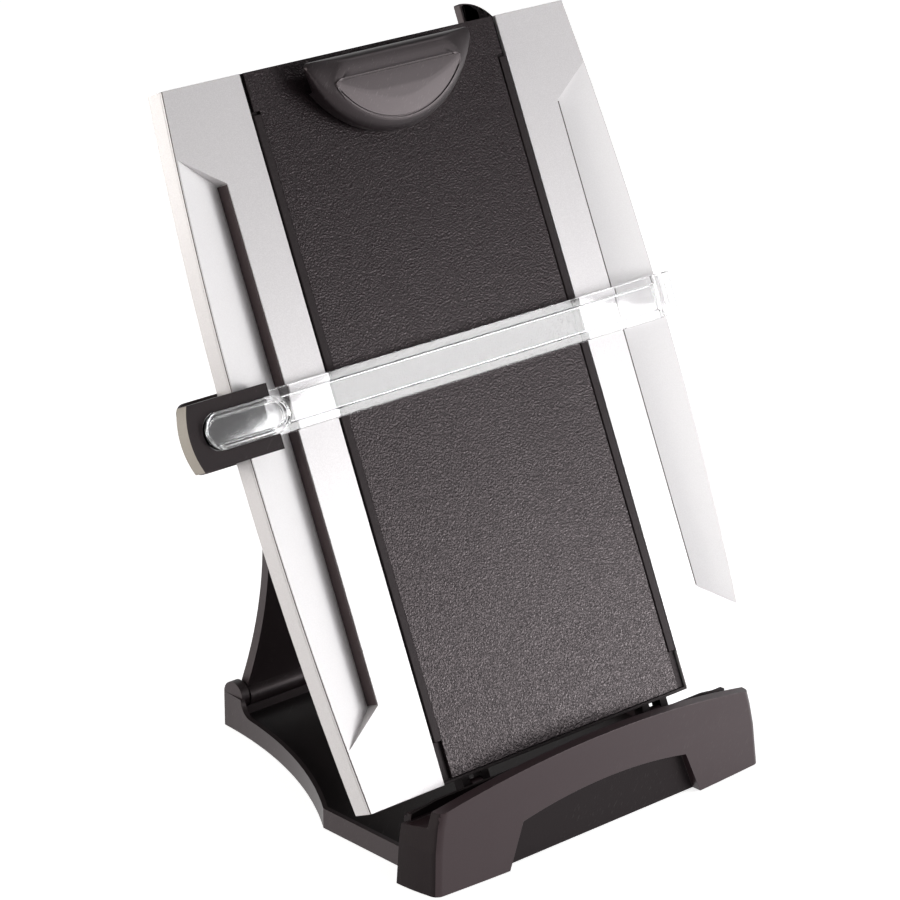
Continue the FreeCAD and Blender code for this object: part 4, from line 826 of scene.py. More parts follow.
class CrossScrews:
    """Pan-head screws with a cross recess and a threaded shank, one for each in a CAD node."""

    def __init__(self, node: str, axis: Vector, sizes: ScrewSizes) -> None:
        """Start the tree and name its inputs.

        Args:
            node: The CAD node whose screws they stand for.
            axis: Direction from the head to the tip.
            sizes: The screw's sizes.
        """
        self.node, self.axis, self.sizes = node, axis, sizes
        self.tree = GeometryTree(f"{node}_tree")
        given = self.tree.given
        self.head_radius = given("Head radius", "Float", sizes.head_radius)
        self.head_height = given("Head height", "Float", sizes.head_height)
        self.shank_radius = given("Shank radius", "Float", sizes.shank_radius)
        self.length = given("Shank length", "Float", sizes.length)
        self.pitch = given("Thread pitch", "Float", sizes.pitch)
        self.thread = given("Thread depth", "Float", sizes.thread)
        self.heading = given("Axis", "Vector", tuple(axis))
        position = self.tree.node("GeometryNodeInputPosition", {}).outputs[0]
        self.spot = self.tree.node("ShaderNodeSeparateXYZ", {0: position}).outputs

    def places(self) -> list[Vector]:
        """The centre of the outer face of each screw head in the CAD node."""
        work = welded(frame["nodes"][self.node].data)
        # A dict keeps the points in order, so that each run adds them up alike.
        left = dict.fromkeys(work.verts)
        places = []
        while left:
            island, queue = [], [left.popitem()[0]]
            while queue:
                vertex = queue.pop()
                island.append(vertex.co.copy())
                for edge in vertex.link_edges:
                    other = edge.other_vert(vertex)
                    if other in left:
                        del left[other]
                        queue.append(other)
            low = min(point.dot(self.axis) for point in island) + self.sizes.head_cut
            head = [point for point in island if point.dot(self.axis) < low]
            places.append(sum(head, Vector()) / len(head))
        work.free()
        return sorted(places, key=lambda place: (round(place.x, 4), round(place.z, 4)))

    def cylinder(self, counts: tuple[int, int, int], radius: bpy.types.NodeSocket,
                 depth: bpy.types.NodeSocket) -> bpy.types.NodeSocket:
        """A cylinder with its counts of vertices, side segments and fill segments."""
        vertices, sides, fills = counts
        return self.tree.solid("Cylinder", {"Vertices": vertices, "Side Segments": sides,
                                            "Fill Segments": fills, "Radius": radius,
                                            "Depth": depth})

    def head(self) -> bpy.types.NodeSocket:
        """The domed head with its cross recess."""
        tree, z = self.tree, self.sizes
        maths, product = tree.maths, tree.product
        across, up, along = self.spot["X"], self.spot["Y"], self.spot["Z"]
        half = product(self.head_height, 0.5)
        reach = maths("SQRT", maths("ADD", product(across, across), product(up, up)))
        share = maths("DIVIDE", reach, self.head_radius)
        sag = product(share, share, product(self.head_height, z.dome))
        outer = maths("LESS_THAN", along, product(self.head_height, z.dome_from))
        blank = self.cylinder(z.head_mesh, self.head_radius, self.head_height)
        domed = tree.reshaped(blank, Offset=tree.vector(Z=product(sag, outer)))
        cut = tree.node("GeometryNodeMeshBoolean", {"Mesh 1": domed}, operation="DIFFERENCE")
        for long_side, short_side in (("X", "Y"), ("Y", "X")):
            size = tree.vector(**{long_side: product(self.head_radius, z.cross_length),
                                  short_side: product(self.head_radius, z.cross_width),
                                  "Z": product(self.head_height, z.cross_depth)})
            drop = tree.vector(Z=product(half, -1.0))
            tree.link(tree.moved(tree.solid("Cube", {"Size": size}), Translation=drop),
                      cut.inputs["Mesh 2"])
        return tree.moved(cut.outputs["Mesh"], Translation=tree.vector(Z=half))

    def shank(self) -> bpy.types.NodeSocket:
        """The threaded shank behind the head."""
        tree, maths, product = self.tree, self.tree.maths, self.tree.product
        across, up, along = self.spot["X"], self.spot["Y"], self.spot["Z"]
        coil = product(maths("DIVIDE", along, self.pitch), math.tau)
        wave = maths("SINE", maths("ADD", coil, maths("ARCTAN2", up, across)))
        depth = product(maths("ADD", product(wave, 0.5), 0.5),
                        maths("DIVIDE", self.thread, self.shank_radius))
        groove = maths("SUBTRACT", 1.0, depth)
        cut = tree.vector(X=product(across, groove), Y=product(up, groove), Z=along)
        blank = self.cylinder(self.sizes.shank_mesh, self.shank_radius, self.length)
        reach = maths("ADD", self.head_height, product(self.length, 0.5))
        return tree.moved(tree.reshaped(blank, Position=cut), Translation=tree.vector(Z=reach))

    def build(self, body: Body) -> bpy.types.Object:
        """Make the finished screws as one piece on the body they are fastened to."""
        tree = self.tree
        aim = tree.node("FunctionNodeAlignRotationToVector", {"Vector": self.heading}, axis="Z")
        screws = tree.copies(tree.entry.outputs["Geometry"],
                             tree.join(self.head(), self.shank()), Rotation=aim.outputs[0])
        return tree.bake(self.node, self.places(), Finish.STEEL, body, Slot.STEEL, screws)


@dataclass(frozen=True)
class GripTread:
    """The rubber grip strip under the front, a sheet with a row of ribs below, in metres."""

    length: float = 0.110
    width: float = 0.014
    thickness: float = 0.0016
    rib_height: float = 0.0006
    ribs: int = 27
    rib_width: float = 0.0022
    rib_vertices: int = 24
    side_margin: float = 0.001
    end_margin: float = 0.004

    def build(self) -> bpy.types.Object:
        """Make the finished strip."""
        tree = GeometryTree("grip_tread_tree")
        run = self.length - self.end_margin
        height = self.thickness - self.rib_height
        ribs = tree.given("Ribs", "Int", self.ribs)
        rib_size = tree.given("Rib size", "Vector", (self.rib_width, self.width - self.side_margin,
                                                     self.rib_height * 2))
        step = tree.given("Rib step", "Vector", (run / (self.ribs - 1), 0.0, 0.0))
        size = tree.given("Sheet size", "Vector", (self.length, self.width, height))
        start = tree.given("First rib", "Vector", (-run / 2, 0.0, self.rib_height))
        line = tree.solid("Line", {"Count": ribs, "Start Location": start, "Offset": step})
        rib = tree.solid("Cylinder", {"Vertices": self.rib_vertices, "Radius": 0.5, "Depth": 1.0})
        turned = tree.moved(rib, Rotation=(math.pi / 2, 0.0, 0.0))
        row = tree.copies(line, tree.moved(turned, Scale=rib_size))
        sheet = tree.moved(tree.solid("Cube", {"Size": size}),
                           Translation=(0.0, 0.0, self.rib_height + height / 2))
        return tree.bake("grip_strip", [Vector()], Finish.RUBBER, Body.BASE, Slot.RUBBER,
                         tree.join(row, sheet))


@dataclass(frozen=True)
class TorsionSpring:
    """The spring round the clip's pin, with a leg down and a leg up, in metres."""

    wire: float = 0.0007
    radius: float = 0.0022
    length: float = 0.015
    leg: float = 0.007
    turns: float = 6.0
    coil_steps: int = 32
    wire_steps: int = 12

    def build(self) -> bpy.types.Object:
        """Make the finished spring."""
        tree = GeometryTree("torsion_spring_tree")
        turns = tree.given("Turns", "Float", self.turns)
        radius = tree.given("Coil radius", "Float", self.radius)
        length = tree.given("Coil length", "Float", self.length)
        wire = tree.given("Wire radius", "Float", self.wire / 2)
        coil = tree.node("GeometryNodeCurveSpiral",
                         {"Resolution": self.coil_steps, "Rotations": turns,
                          "Start Radius": radius, "End Radius": radius, "Height": length})
        parts = [coil.outputs[0]]
        for height, reach in ((0.0, -self.leg), (self.length, self.leg)):
            leg = tree.node("GeometryNodeCurvePrimitiveLine",
                            {"Start": (self.radius, 0.0, height),
                             "End": (self.radius, reach, height)})
            parts.append(leg.outputs[0])
        profile = tree.node("GeometryNodeCurvePrimitiveCircle",
                            {"Resolution": self.wire_steps, "Radius": wire})
        tube = tree.node("GeometryNodeCurveToMesh",
                         {"Curve": tree.join(*parts), "Profile Curve": profile.outputs[0],
                          "Fill Caps": True})
        corner = SPACE.world(-self.length / 2, SPACE.pin.rise, SPACE.pin.out)
        rows = Matrix((SPACE.out * -1.0, SPACE.up, Vector((1.0, 0.0, 0.0)))).transposed()
        laid = tree.moved(tube.outputs[0], Translation=tuple(corner),
                          Rotation=tuple(rows.to_euler()))
        return tree.bake("clip_spring", [Vector()], Finish.STEEL, Body.PANEL, Slot.STEEL, laid)


# --- assemblies ---------------------------------------------------------------------------------


class Assembly:
    """Pieces that move together on one body."""

    body: Body
    soft_nodes: tuple[tuple[str, Slot, Finish, Edges], ...]

    def soften(self) -> dict[str, bpy.types.Object]:
        """Stand a rounded copy of each listed CAD node in its place."""
        return {node: softened(node, self.body, slot, finish, edges)
                for node, slot, finish, edges in self.soft_nodes}

    def build(self) -> None:
        """Make the assembly's pieces."""
        self.soften()


# --- panel --------------------------------------------------------------------------------------


@dataclass(frozen=True)
class WingSizes:
    """One silver wing with its sunken facet, in metres."""

    height: float = 0.311
    inner: float = 0.073
    end_half: float = 0.114
    bow_radius: float = 1.425
    skin: float = 0.002
    core_depth: float = 0.0086
    core_inset: float = 0.0023
    step_half: float = 0.095
    facet_depth: float = 0.007
    facet_low: float = 0.0418
    facet_high: float = 0.2678
    apex_rise: float = 0.0142
    rim: float = 0.0005
    seam_start: float = 0.0003
    seam_end: float = 0.0009
    seam_depth: float = 0.0005
    seam_corner: float = 0.0001
    floor_lean: tuple[float, float] = (0.1, 0.5)
    floor_level: float = 0.8
    stations: int = 24

    def edge(self, rise: float) -> float:
        """Half the panel's width at a height up its face."""
        middle = self.height / 2
        centre = self.end_half - math.sqrt(self.bow_radius ** 2 - middle ** 2)
        return centre + math.sqrt(self.bow_radius ** 2 - (rise - middle) ** 2)


class Wing:
    """A wing whose facet floor rises from a step wall to the bowed outer edge."""

    def __init__(self, side: Side, sizes: WingSizes) -> None:
        """Keep the side and sizes.

        Args:
            side: Which side of the panel.
            sizes: The wing's sizes.
        """
        self.side = side
        self.sizes = sizes
        self.draft = MeshDraft(f"{side.word}_wing_dressed")

    def at(self, across: float, up: float, out: float) -> Vector:
        """A point of this wing in the row frame."""
        return SPACE.world(self.side.value * across, up, out)

    def facet_row(self, apex: float) -> list[float]:
        """Heights of the facet's stations where it reaches an apex past both its ends."""
        z = self.sizes
        low, high = z.facet_low - apex, z.facet_high + apex
        return [low + (high - low) * (index / z.stations) for index in range(z.stations + 1)]

    def add_face_side(self) -> None:
        """Everything that faces the reader: flats, facet floor, step wall and end walls."""
        z, at = self.sizes, self.at
        inner, outer = self.facet_row(0.0), self.facet_row(z.apex_rise)
        rim = [z.edge(rise) - z.rim for rise in outer]
        step_top = [at(z.step_half, rise, 0.0) for rise in inner]
        step_foot = [at(z.step_half, rise, -z.facet_depth) for rise in inner]
        floor_edge = [at(across, rise, 0.0) for across, rise in zip(rim, outer)]
        outline = [at(z.edge(rise), rise, 0.0) for rise in outer]
        foot = [at(z.step_half, 0.0, 0.0), at(z.edge(0.0), 0.0, 0.0)]
        top = [at(z.step_half, z.height, 0.0), at(z.edge(z.height), z.height, 0.0)]
        self.draft.face(at(z.inner, 0.0, 0.0), foot[0], *step_top, top[0],
                        at(z.inner, z.height, 0.0))
        self.draft.face(foot[0], foot[1], outline[0], floor_edge[0], step_top[0])
        self.draft.face(top[0], top[1], outline[-1], floor_edge[-1], step_top[-1])
        self.draft.bands([outline, floor_edge, step_foot, step_top], closed=False)
        for end in (0, -1):
            self.draft.face(step_top[end], step_foot[end], floor_edge[end])

    def add_back_side(self) -> None:
        """The skin's edge, the step in to the core and the core's back."""
        z, at = self.sizes, self.at
        rises = [0.0, *self.facet_row(z.apex_rise), z.height]
        inset = [min(max(rise, z.core_inset), z.height - z.core_inset) for rise in rises]
        edge = [z.edge(rise) for rise in rises]
        corner = z.seam_corner
        steps = ((0.0, 0.0), (0.0, z.seam_start), (z.seam_depth, z.seam_start + corner),
                 (z.seam_depth, z.seam_end - corner), (0.0, z.seam_end), (0.0, z.skin))
        skin = [[at(across - depth, rise, -out) for across, rise in zip(edge, rises)]
                for depth, out in steps]
        core_row, back_row = [[at(across - z.core_inset, rise, -out)
                               for across, rise in zip(edge, inset)]
                              for out in (z.skin, z.core_depth)]
        self.draft.bands([*skin, core_row, back_row], closed=False)
        low, high = z.core_inset, z.height - z.core_inset
        spine = [[at(z.inner, rise, out) for out in (0.0, -z.skin)] for rise in (0.0, z.height)]
        core = [[at(z.inner, rise, out) for out in (-z.skin, -z.core_depth)]
                for rise in (low, high)]
        for (face, skirt), (step, back), end, rise in zip(spine, core, (0, -1), (0.0, z.height)):
            corners = [row[end] for row in skin]
            self.draft.face(face, at(z.step_half, rise, 0.0), *corners, skirt)
            self.draft.face(skirt, corners[-1], core_row[end], step)
            self.draft.face(step, core_row[end], back_row[end], back)
        self.draft.face(core[0][1], *back_row, core[1][1])
        self.draft.face(*spine[0], *core[0], *core[1][::-1], *spine[1][::-1])

    def in_seam(self, middle: Vector, normal: Vector) -> bool:
        """Whether a face is in the groove along the bowed edge."""
        depth = (SPACE.foot - middle).dot(SPACE.out)
        return (self.sizes.seam_start < depth < self.sizes.seam_end
                and abs(middle.x) > self.sizes.edge(0.0) - self.sizes.core_inset)

    def on_facet(self, middle: Vector, normal: Vector) -> bool:
        """Whether a face is part of the facet's rising floor, which gets the painted light."""
        low, high = self.sizes.floor_lean
        return (low < -self.side.value * normal.x < high
                and normal.dot(SPACE.out) > self.sizes.floor_level)

    def build(self) -> bpy.types.Object:
        """Make the finished wing."""
        self.add_face_side()
        self.add_back_side()
        edges = Edges(0.0003, segments=2, angle=25.0, crease=8.0)
        piece = dress(self.draft.mesh(), self.draft.name, Finish.SILVER, edges)
        coat(piece, Finish.LINER, self.in_seam)
        # The facet floors take the lighter silver copy, which is painted light.
        coat(piece, Finish.PAINTED_LIT_SILVER, self.on_facet)
        return settle(piece, Body.PANEL, Slot.SILVER, f"{self.side.word}_wing")


@dataclass(frozen=True)
class PanelAssembly(Assembly):
    """Everything that leans with the panel."""

    wing: WingSizes = WingSizes()
    spring: TorsionSpring = TorsionSpring()
    wing_screw: ScrewSizes = ScrewSizes(0.0028, 0.0013, 0.00145, 0.006)
    cover_screw: ScrewSizes = ScrewSizes(0.0028, 0.0013, 0.00145, 0.0108)
    body = Body.PANEL
    soft_nodes = (
        ("rear_shell", Slot.SILVER, Finish.SILVER, Edges(0.0003)),
        ("centre_frame", Slot.BLACK, Finish.MATT, Edges(0.0003)),
        ("backing_board", Slot.TEXTURED, Finish.PEBBLED, Edges(0.0002, segments=2)),
        *((f"{side.word}_step_liner", Slot.BLACK, Finish.LINER, Edges(0.0001, segments=1))
          for side in Side),
        *((f"{side.word}_rail", Slot.BLACK, Finish.MATT, Edges(0.0003)) for side in Side),
        *((f"{side.word}_strut_track", Slot.BLACK, Finish.BLACK, Edges(0.0004)) for side in Side),
        ("clip_bracket", Slot.BLACK, Finish.BLACK, Edges(0.0002, segments=2)),
        ("clip_pin", Slot.STEEL, Finish.STEEL, Edges(0.0002, segments=2)),
        ("memo_track_lower", Slot.BLACK, Finish.BLACK, Edges(0.0003)),
        ("memo_track_upper", Slot.BLACK, Finish.BLACK, Edges(0.0003)),
        ("rear_cover", Slot.BLACK, Finish.BLACK, Edges(0.0006)),
    )

    def build(self) -> None:
        """Make the wings, the softened mouldings and the fasteners."""
        for side in Side:
            Wing(side, self.wing).build()
        self.soften()
        self.spring.build()
        CrossScrews("wing_screws", SPACE.out, self.wing_screw).build(self.body)
        CrossScrews("cover_screws", SPACE.out, self.cover_screw).build(self.body)


# --- clip ---------------------------------------------------------------------------------------


@dataclass(frozen=True)
class ClipSizes:
    """The half-moon clip in its own tilted plane, measured from its pin, in metres."""

    half: float = 0.0475
    radius: float = 0.0491
    top: float = 0.01574
    rim_out: float = 0.00275
    rim_thickness: float = 0.002
    crown: float = 0.0049
    shoulder: float = 0.30
    shoulder_rise: float = 0.86
    curve_power: float = 0.72
    wall: float = 0.002
    skirt_top: float = 0.0019
    clearance: float = 0.001
    panel_top_inset: float = 0.0094
    panel_arc_inset: float = 0.0061
    groove_half: float = 0.00042
    groove_depth: float = 0.0005
    knuckle_near: float = 0.017
    knuckle_width: float = 0.003
    knuckle_radius: float = 0.00275
    bore_radius: float = 0.0013
    corner: float = 0.0022
    corner_inside: float = 0.0011
    corner_crown: float = 0.0085
    skirt_run: float = 0.0015
    lip: float = 0.0006
    lip_round: float = 0.0001
    foot_round: float = 0.0003
    foot_rise: float = 0.0005
    knuckle_cut: float = 0.001
    moon_rise: float = 0.0006
    moon_reach: float = 0.010
    crown_rises: tuple[float, ...] = (0.1, 0.2, 0.32, 0.45, 0.57, 0.68, 0.78, 0.86, 0.92, 0.935,
                                      0.95, 0.965, 0.98)
    groove: tuple[Pair, ...] = ((-1.6, 0.0), (-1.0, 0.0), (-0.55, 1.0), (0.55, 1.0),
                                 (1.0, 0.0), (1.6, 0.0))
    moon_steps: tuple[float, ...] = (0.0018, 0.0036, 0.0054, 0.0072, 0.0088)
    top_steps: int = 56
    arc_steps: int = 96
    corner_steps: int = 12
    knuckle_steps: int = 32

    @property
    def centre(self) -> float:
        """Height of the round edge's centre over the pin."""
        return self.top + math.sqrt(self.radius ** 2 - self.half ** 2)


class ClipAssembly(Assembly):
    """The rocking half-moon clip with its jaw pad."""

    body = Body.CLIP
    soft_nodes = (("clip_jaw_pad", Slot.RUBBER, Finish.RUBBER, Edges(0.0003)),)

    def __init__(self, sizes: ClipSizes) -> None:
        """Keep the clip's sizes."""
        self.sizes = sizes
        self.draft = MeshDraft("clip_lever_dressed")

    def corner_radius(self, share: float) -> float:
        """How round the two corners are, from the rim, 0, to the sunken panel, 1."""
        z = self.sizes
        share = min(max(share, 0.0), 1.0)
        change = (z.corner_inside - z.corner) * share
        return z.corner + change + z.corner_crown * math.sin(share * math.pi)

    def outline(self, top_inset: float, arc_inset: float) -> list[Pair]:
        """The half-moon moved in, always with the same number of points.

        Args:
            top_inset: How far the straight top moves in.
            arc_inset: How far the round edge moves in.

        Returns:
            Points (across, along) anticlockwise from the top right corner.
        """
        z = self.sizes
        top, radius = z.top - top_inset, z.radius - arc_inset
        corner = self.corner_radius(arc_inset / z.panel_arc_inset)
        spot = top - corner
        half = math.sqrt((radius - corner) ** 2 - (z.centre - spot) ** 2)
        slant = math.atan2(spot - z.centre, half)
        points = [(half - 2 * half * step / z.top_steps, top) for step in range(z.top_steps)]
        left_end = -math.pi - slant
        quarter = math.pi / 2
        arcs = ((-half, spot, corner, quarter, left_end + math.tau, z.corner_steps),
                (0.0, z.centre, radius, left_end, slant, z.arc_steps),
                (half, spot, corner, slant, quarter, z.corner_steps))
        for across, along, reach, start, end, steps in arcs:
            for step in range(steps):
                turn = start + (end - start) * step / steps
                points.append((across + reach * math.cos(turn), along + reach * math.sin(turn)))
        return points

    def ring(self, top_inset: float, arc_inset: float, out: float) -> list[Vector]:
        """One level ring of the shell."""
        return [SPACE.clip(across, along, out)
                for across, along in self.outline(top_inset, arc_inset)]

    def moon_ring(self, step: float, out: float) -> list[Vector]:
        """One level ring, moved in from the edge of the sunken half-moon."""
        z = self.sizes
        return self.ring(z.panel_top_inset + step, z.panel_arc_inset + step, out)

    def foot_out(self, along: float) -> float:
        """How low the skirt reaches at a height: to the board below, to the rim above."""
        z = self.sizes
        tilt = SPACE.pin.clip_tilt
        board = (z.clearance - SPACE.pin.out - along * math.sin(tilt)) / math.cos(tilt)
        rim = z.rim_out - z.rim_thickness
        share = min(max((along - z.skirt_top) / z.skirt_run, 0.0), 1.0)
        return board + (rim - board) * share * share * (3 - 2 * share)

    def foot_ring(self, inset: float, lift: float) -> list[Vector]:
        """A ring along the skirt's lower edge."""
        return [SPACE.clip(across, along, self.foot_out(along) + lift)
                for across, along in self.outline(inset, inset)]

    def crown_insets(self, rise: float) -> tuple[float, float]:
        """How far the crowned face has moved in from its rim at a height.

        Args:
            rise: Share of the crown's height.

        Returns:
            The inset from the straight top, which turns over sharply and then runs almost flat,
            and the inset from the round edge, which curves all the way.
        """
        z = self.sizes
        if rise < z.shoulder_rise:
            share = z.shoulder * (1 - math.sqrt(1 - (rise / z.shoulder_rise) ** 2))
        else:
            over = rise - z.shoulder_rise
            share = z.shoulder + (1 - z.shoulder) * over / (1 - z.shoulder_rise)
        curve = math.asin(rise ** (1 / z.curve_power)) * 2 / math.pi
        return share * z.panel_top_inset, curve * z.panel_arc_inset

    def build_shell(self) -> None:
        """The crowned face, its D-shaped groove, the skirt and the underside."""
        z = self.sizes
        brim, flat = z.rim_out - z.lip, z.rim_out + z.crown
        rings = [self.foot_ring(0.0, z.foot_rise), self.ring(0.0, 0.0, brim),
                 self.ring(z.lip_round, z.lip_round, z.rim_out - z.lip_round)]
        rings += [self.ring(*self.crown_insets(rise), z.rim_out + z.crown * rise)
                  for rise in z.crown_rises]
        rings += [self.moon_ring(side * z.groove_half, flat - depth * z.groove_depth)
                  for side, depth in z.groove]
        rings += [self.moon_ring(step, flat + z.moon_rise * step / z.moon_reach)
                  for step in z.moon_steps]
        under = [self.foot_ring(z.foot_round, 0.0), self.foot_ring(z.wall - z.foot_round, 0.0),
                 self.foot_ring(z.wall, z.foot_rise), self.ring(z.wall, z.wall, brim),
                 self.moon_ring(z.wall, flat - z.wall)]
        self.draft.bands(rings)
        self.draft.bands([rings[0], *under])
        self.draft.face(*rings[-1])
        self.draft.face(*under[-1])

    def build_knuckles(self) -> None:
        """Two bored knuckles that hang from the crown on each side of the bracket."""
        z = self.sizes
        high = z.rim_out + z.crown - z.wall / 2
        turns = [math.tau * step / z.knuckle_steps for step in range(z.knuckle_steps)]
        outer, bore = [[(radius * math.cos(turn), radius * math.sin(turn)) for turn in turns]
                       for radius in (z.knuckle_radius, z.bore_radius)]
        outer = [(along, high if out > z.knuckle_cut else out) for along, out in outer]
        for side in Side:
            near, far = [[[SPACE.clip(side.value * reach, along, out) for along, out in loop]
                          for loop in (outer, bore)]
                         for reach in (z.knuckle_near, z.knuckle_near + z.knuckle_width)]
            for first, second in (*zip(near, far), near, far):
                self.draft.painted_lit_side(first, second)

    def build(self) -> None:
        """Make the clip and its pad."""
        self.build_shell()
        self.build_knuckles()
        edges = Edges(0.00012, segments=2, angle=35.0, crease=34.0)
        piece = dress(self.draft.mesh(), self.draft.name, Finish.SMOOTH, edges)
        settle(piece, self.body, Slot.BLACK, "clip_lever")
        self.soften()


# --- guide, memo board, strut and base ----------------------------------------------------------


@dataclass(frozen=True)
class GuideAssembly(Assembly):
    """The line guide that slides up and down the panel."""

    lit_side_half: float = 0.150
    lit_side_lean: float = 0.6
    screw: ScrewSizes = ScrewSizes(0.00187, 0.0013, 0.00095, 0.019)
    body = Body.GUIDE
    soft_nodes = (
        ("guide_bar", Slot.CLEAR, Finish.CLEAR, Edges(0.0005)),
        ("guide_grip", Slot.CLEAR, Finish.CLEAR, Edges(0.0008, segments=4)),
        ("guide_end_hook", Slot.CLEAR, Finish.CLEAR, Edges(0.0006)),
        ("guide_housing", Slot.BLACK, Finish.MATT, Edges(0.0003)),
        ("guide_clamp", Slot.BLACK, Finish.BLACK, Edges(0.0005)),
        ("guide_pad", Slot.RUBBER, Finish.RUBBER, Edges(0.0001, segments=2)),
    )

    def in_painted_lit_side(self, middle: Vector, normal: Vector) -> bool:
        """Whether a face of the housing faces left at its outer end, where a warm grey paints the
        lit side.
        """
        return middle.x < -self.lit_side_half and normal.x < -self.lit_side_lean

    def build(self) -> None:
        """Make the guide's pieces."""
        # The housing's left-facing end takes the warm grey, which is painted light.
        coat(self.soften()["guide_housing"], Finish.PAINTED_LIT_SIDE, self.in_painted_lit_side)
        CrossScrews("guide_screws", SPACE.out, self.screw).build(self.body)


class MemoAssembly(Assembly):
    """The memo board that slides out behind the panel."""

    body = Body.MEMO
    soft_nodes = (
        ("memo_board", Slot.TEXTURED, Finish.PEBBLED, Edges(0.0004)),
        ("memo_carrier", Slot.BLACK, Finish.BLACK, Edges(0.0004)),
        ("memo_tab", Slot.BLACK, Finish.BLACK, Edges(0.0006)),
        ("memo_glides", Slot.NYLON, Finish.NYLON, Edges(0.00008, segments=1)),
    )


class StrutAssembly(Assembly):
    """The rear leg with its cross rod and bushes."""

    body = Body.STRUT
    soft_nodes = (
        ("strut_leg", Slot.BLACK, Finish.BLACK, Edges(0.0006)),
        ("strut_cross_rod", Slot.STEEL, Finish.STEEL, Edges(0.0005, segments=2)),
        ("strut_bushes", Slot.NYLON, Finish.NYLON, Edges(0.0003, segments=2)),
    )


@dataclass(frozen=True)
class RimSizes:
    """The low wall along the back of the page trough, in metres."""

    half: float = 0.0944
    front: float = -0.0026
    back: float = -0.0013
    foot: float = 0.0290
    end_top: float = 0.0316
    top: float = 0.0336
    slope_start: float = 0.080
    stations: int = 40


@dataclass(frozen=True)
class BaseAssembly(Assembly):
    """The front moulding with its trough, the tray and what holds them together."""

    end_half: float = 0.086
    end_lean: float = 0.75
    arch_half: float = 0.060
    arch_height: float = 0.0262
    arch_front: float = -0.0200
    arch_back: float = -0.0140
    arch_facing: float = 0.9
    floor_level: float = 0.9
    floor_height: float = 0.0045
    rim: RimSizes = RimSizes()
    tread: GripTread = GripTread()
    screw: ScrewSizes = ScrewSizes(0.0028, 0.0013, 0.00145, 0.010)
    body = Body.BASE
    soft_nodes = (
        ("front_moulding", Slot.BLACK, Finish.SATIN, Edges(0.0004)),
        ("base_tray", Slot.BLACK, Finish.BLACK, Edges(0.0005)),
        ("corner_feet", Slot.RUBBER, Finish.RUBBER, Edges(0.0004)),
        ("hinge_pins", Slot.STEEL, Finish.DARK_STEEL, Edges(0.0002, segments=2)),
        ("strut_pivot_rod", Slot.STEEL, Finish.DARK_STEEL, Edges(0.0005, segments=2)),
    )

    def gets_painted_shade(self, middle: Vector, normal: Vector) -> bool:
        """Whether a face of the front moulding is on an end or in the arched cut-out, where the
        darker matt copy paints shade.
        """
        on_end = abs(middle.x) > self.end_half and abs(normal.x) > self.end_lean
        in_arch = (abs(middle.x) < self.arch_half and middle.z < self.arch_height
                   and normal.y < -self.arch_facing
                   and self.arch_front < middle.y < self.arch_back)
        return on_end or in_arch

    def is_tray_floor(self, middle: Vector, normal: Vector) -> bool:
        """Whether a face is the tray's low inner floor, which gets painted shade."""
        return normal.z > self.floor_level and middle.z < self.floor_height

    def build_trough_rim(self) -> None:
        """The low wall behind the pages, which falls towards the trough's ends."""
        sizes = self.rim
        draft = MeshDraft("trough_rim")
        rings = []
        for step in range(sizes.stations + 1):
            across = sizes.half * (2 * step / sizes.stations - 1)
            fall = max(abs(across) - sizes.slope_start, 0.0) / (sizes.half - sizes.slope_start)
            top = sizes.top + (sizes.end_top - sizes.top) * fall
            rings.append([Vector((across, depth, height)) for depth, height in (
                (sizes.front, sizes.foot), (sizes.front, top), (sizes.back, top),
                (sizes.back, sizes.foot))])
        draft.bands(rings)
        draft.face(*rings[0])
        draft.face(*rings[-1])
        piece = dress(draft.mesh(), "trough_rim", Finish.MATT, Edges(0.0003, segments=2))
        settle(piece, self.body, Slot.BLACK)

    def build(self) -> None:
        """Make the base's pieces."""
        self.build_trough_rim()
        pieces = self.soften()
        # Painted shade: the moulding's ends and arched cut-out take the darker matt copy.
        coat(pieces["front_moulding"], Finish.MATT, self.gets_painted_shade)
        # Painted shade: the tray's inner floor takes the darker matt copy too.
        coat(pieces["base_tray"], Finish.MATT, self.is_tray_floor)
        self.tread.build()
        CrossScrews("base_screws", Vector((0.0, 0.0, 1.0)), self.screw).build(self.body)


# --- studio -------------------------------------------------------------------------------------


WARM: Colour = (1.0, 0.97, 0.92)
WHITE: Colour = (1.0, 1.0, 1.0)


def aimed(name: str, data: bpy.types.ID, place: Point, look: Vector) -> bpy.types.Object:
    """Put a lamp or a camera at a place and turn it to look along a direction.

    Args:
        name: The new object's name.
        data: The lamp or the camera.
        place: Where it stands.
        look: The direction it looks in.

    Returns:
        The new object.
    """
    holder = add_object(name, data)
    holder.location = place
    holder.rotation_mode = "QUATERNION"
    holder.rotation_quaternion = look.to_track_quat("-Z", "Y")
    return holder


@dataclass(frozen=True)
class Softbox:
    """A square, rectangular or oval area lamp that looks at a point."""

    name: str
    place: Point
    target: Point
    size: float
    power: float
    height: float | None = None
    oval: bool = False
    colour: Colour = WHITE

    def build(self) -> bpy.types.Object:
        """Hang the lamp."""
        lamp = bpy.data.lights.new(self.name, "AREA")
        lamp.energy = self.power
        lamp.color = self.colour
        lamp.size = self.size
        if self.height is not None:
            lamp.shape = "ELLIPSE" if self.oval else "RECTANGLE"
            lamp.size_y = self.height
        return aimed(self.name, lamp, self.place, Vector(self.target) - Vector(self.place))


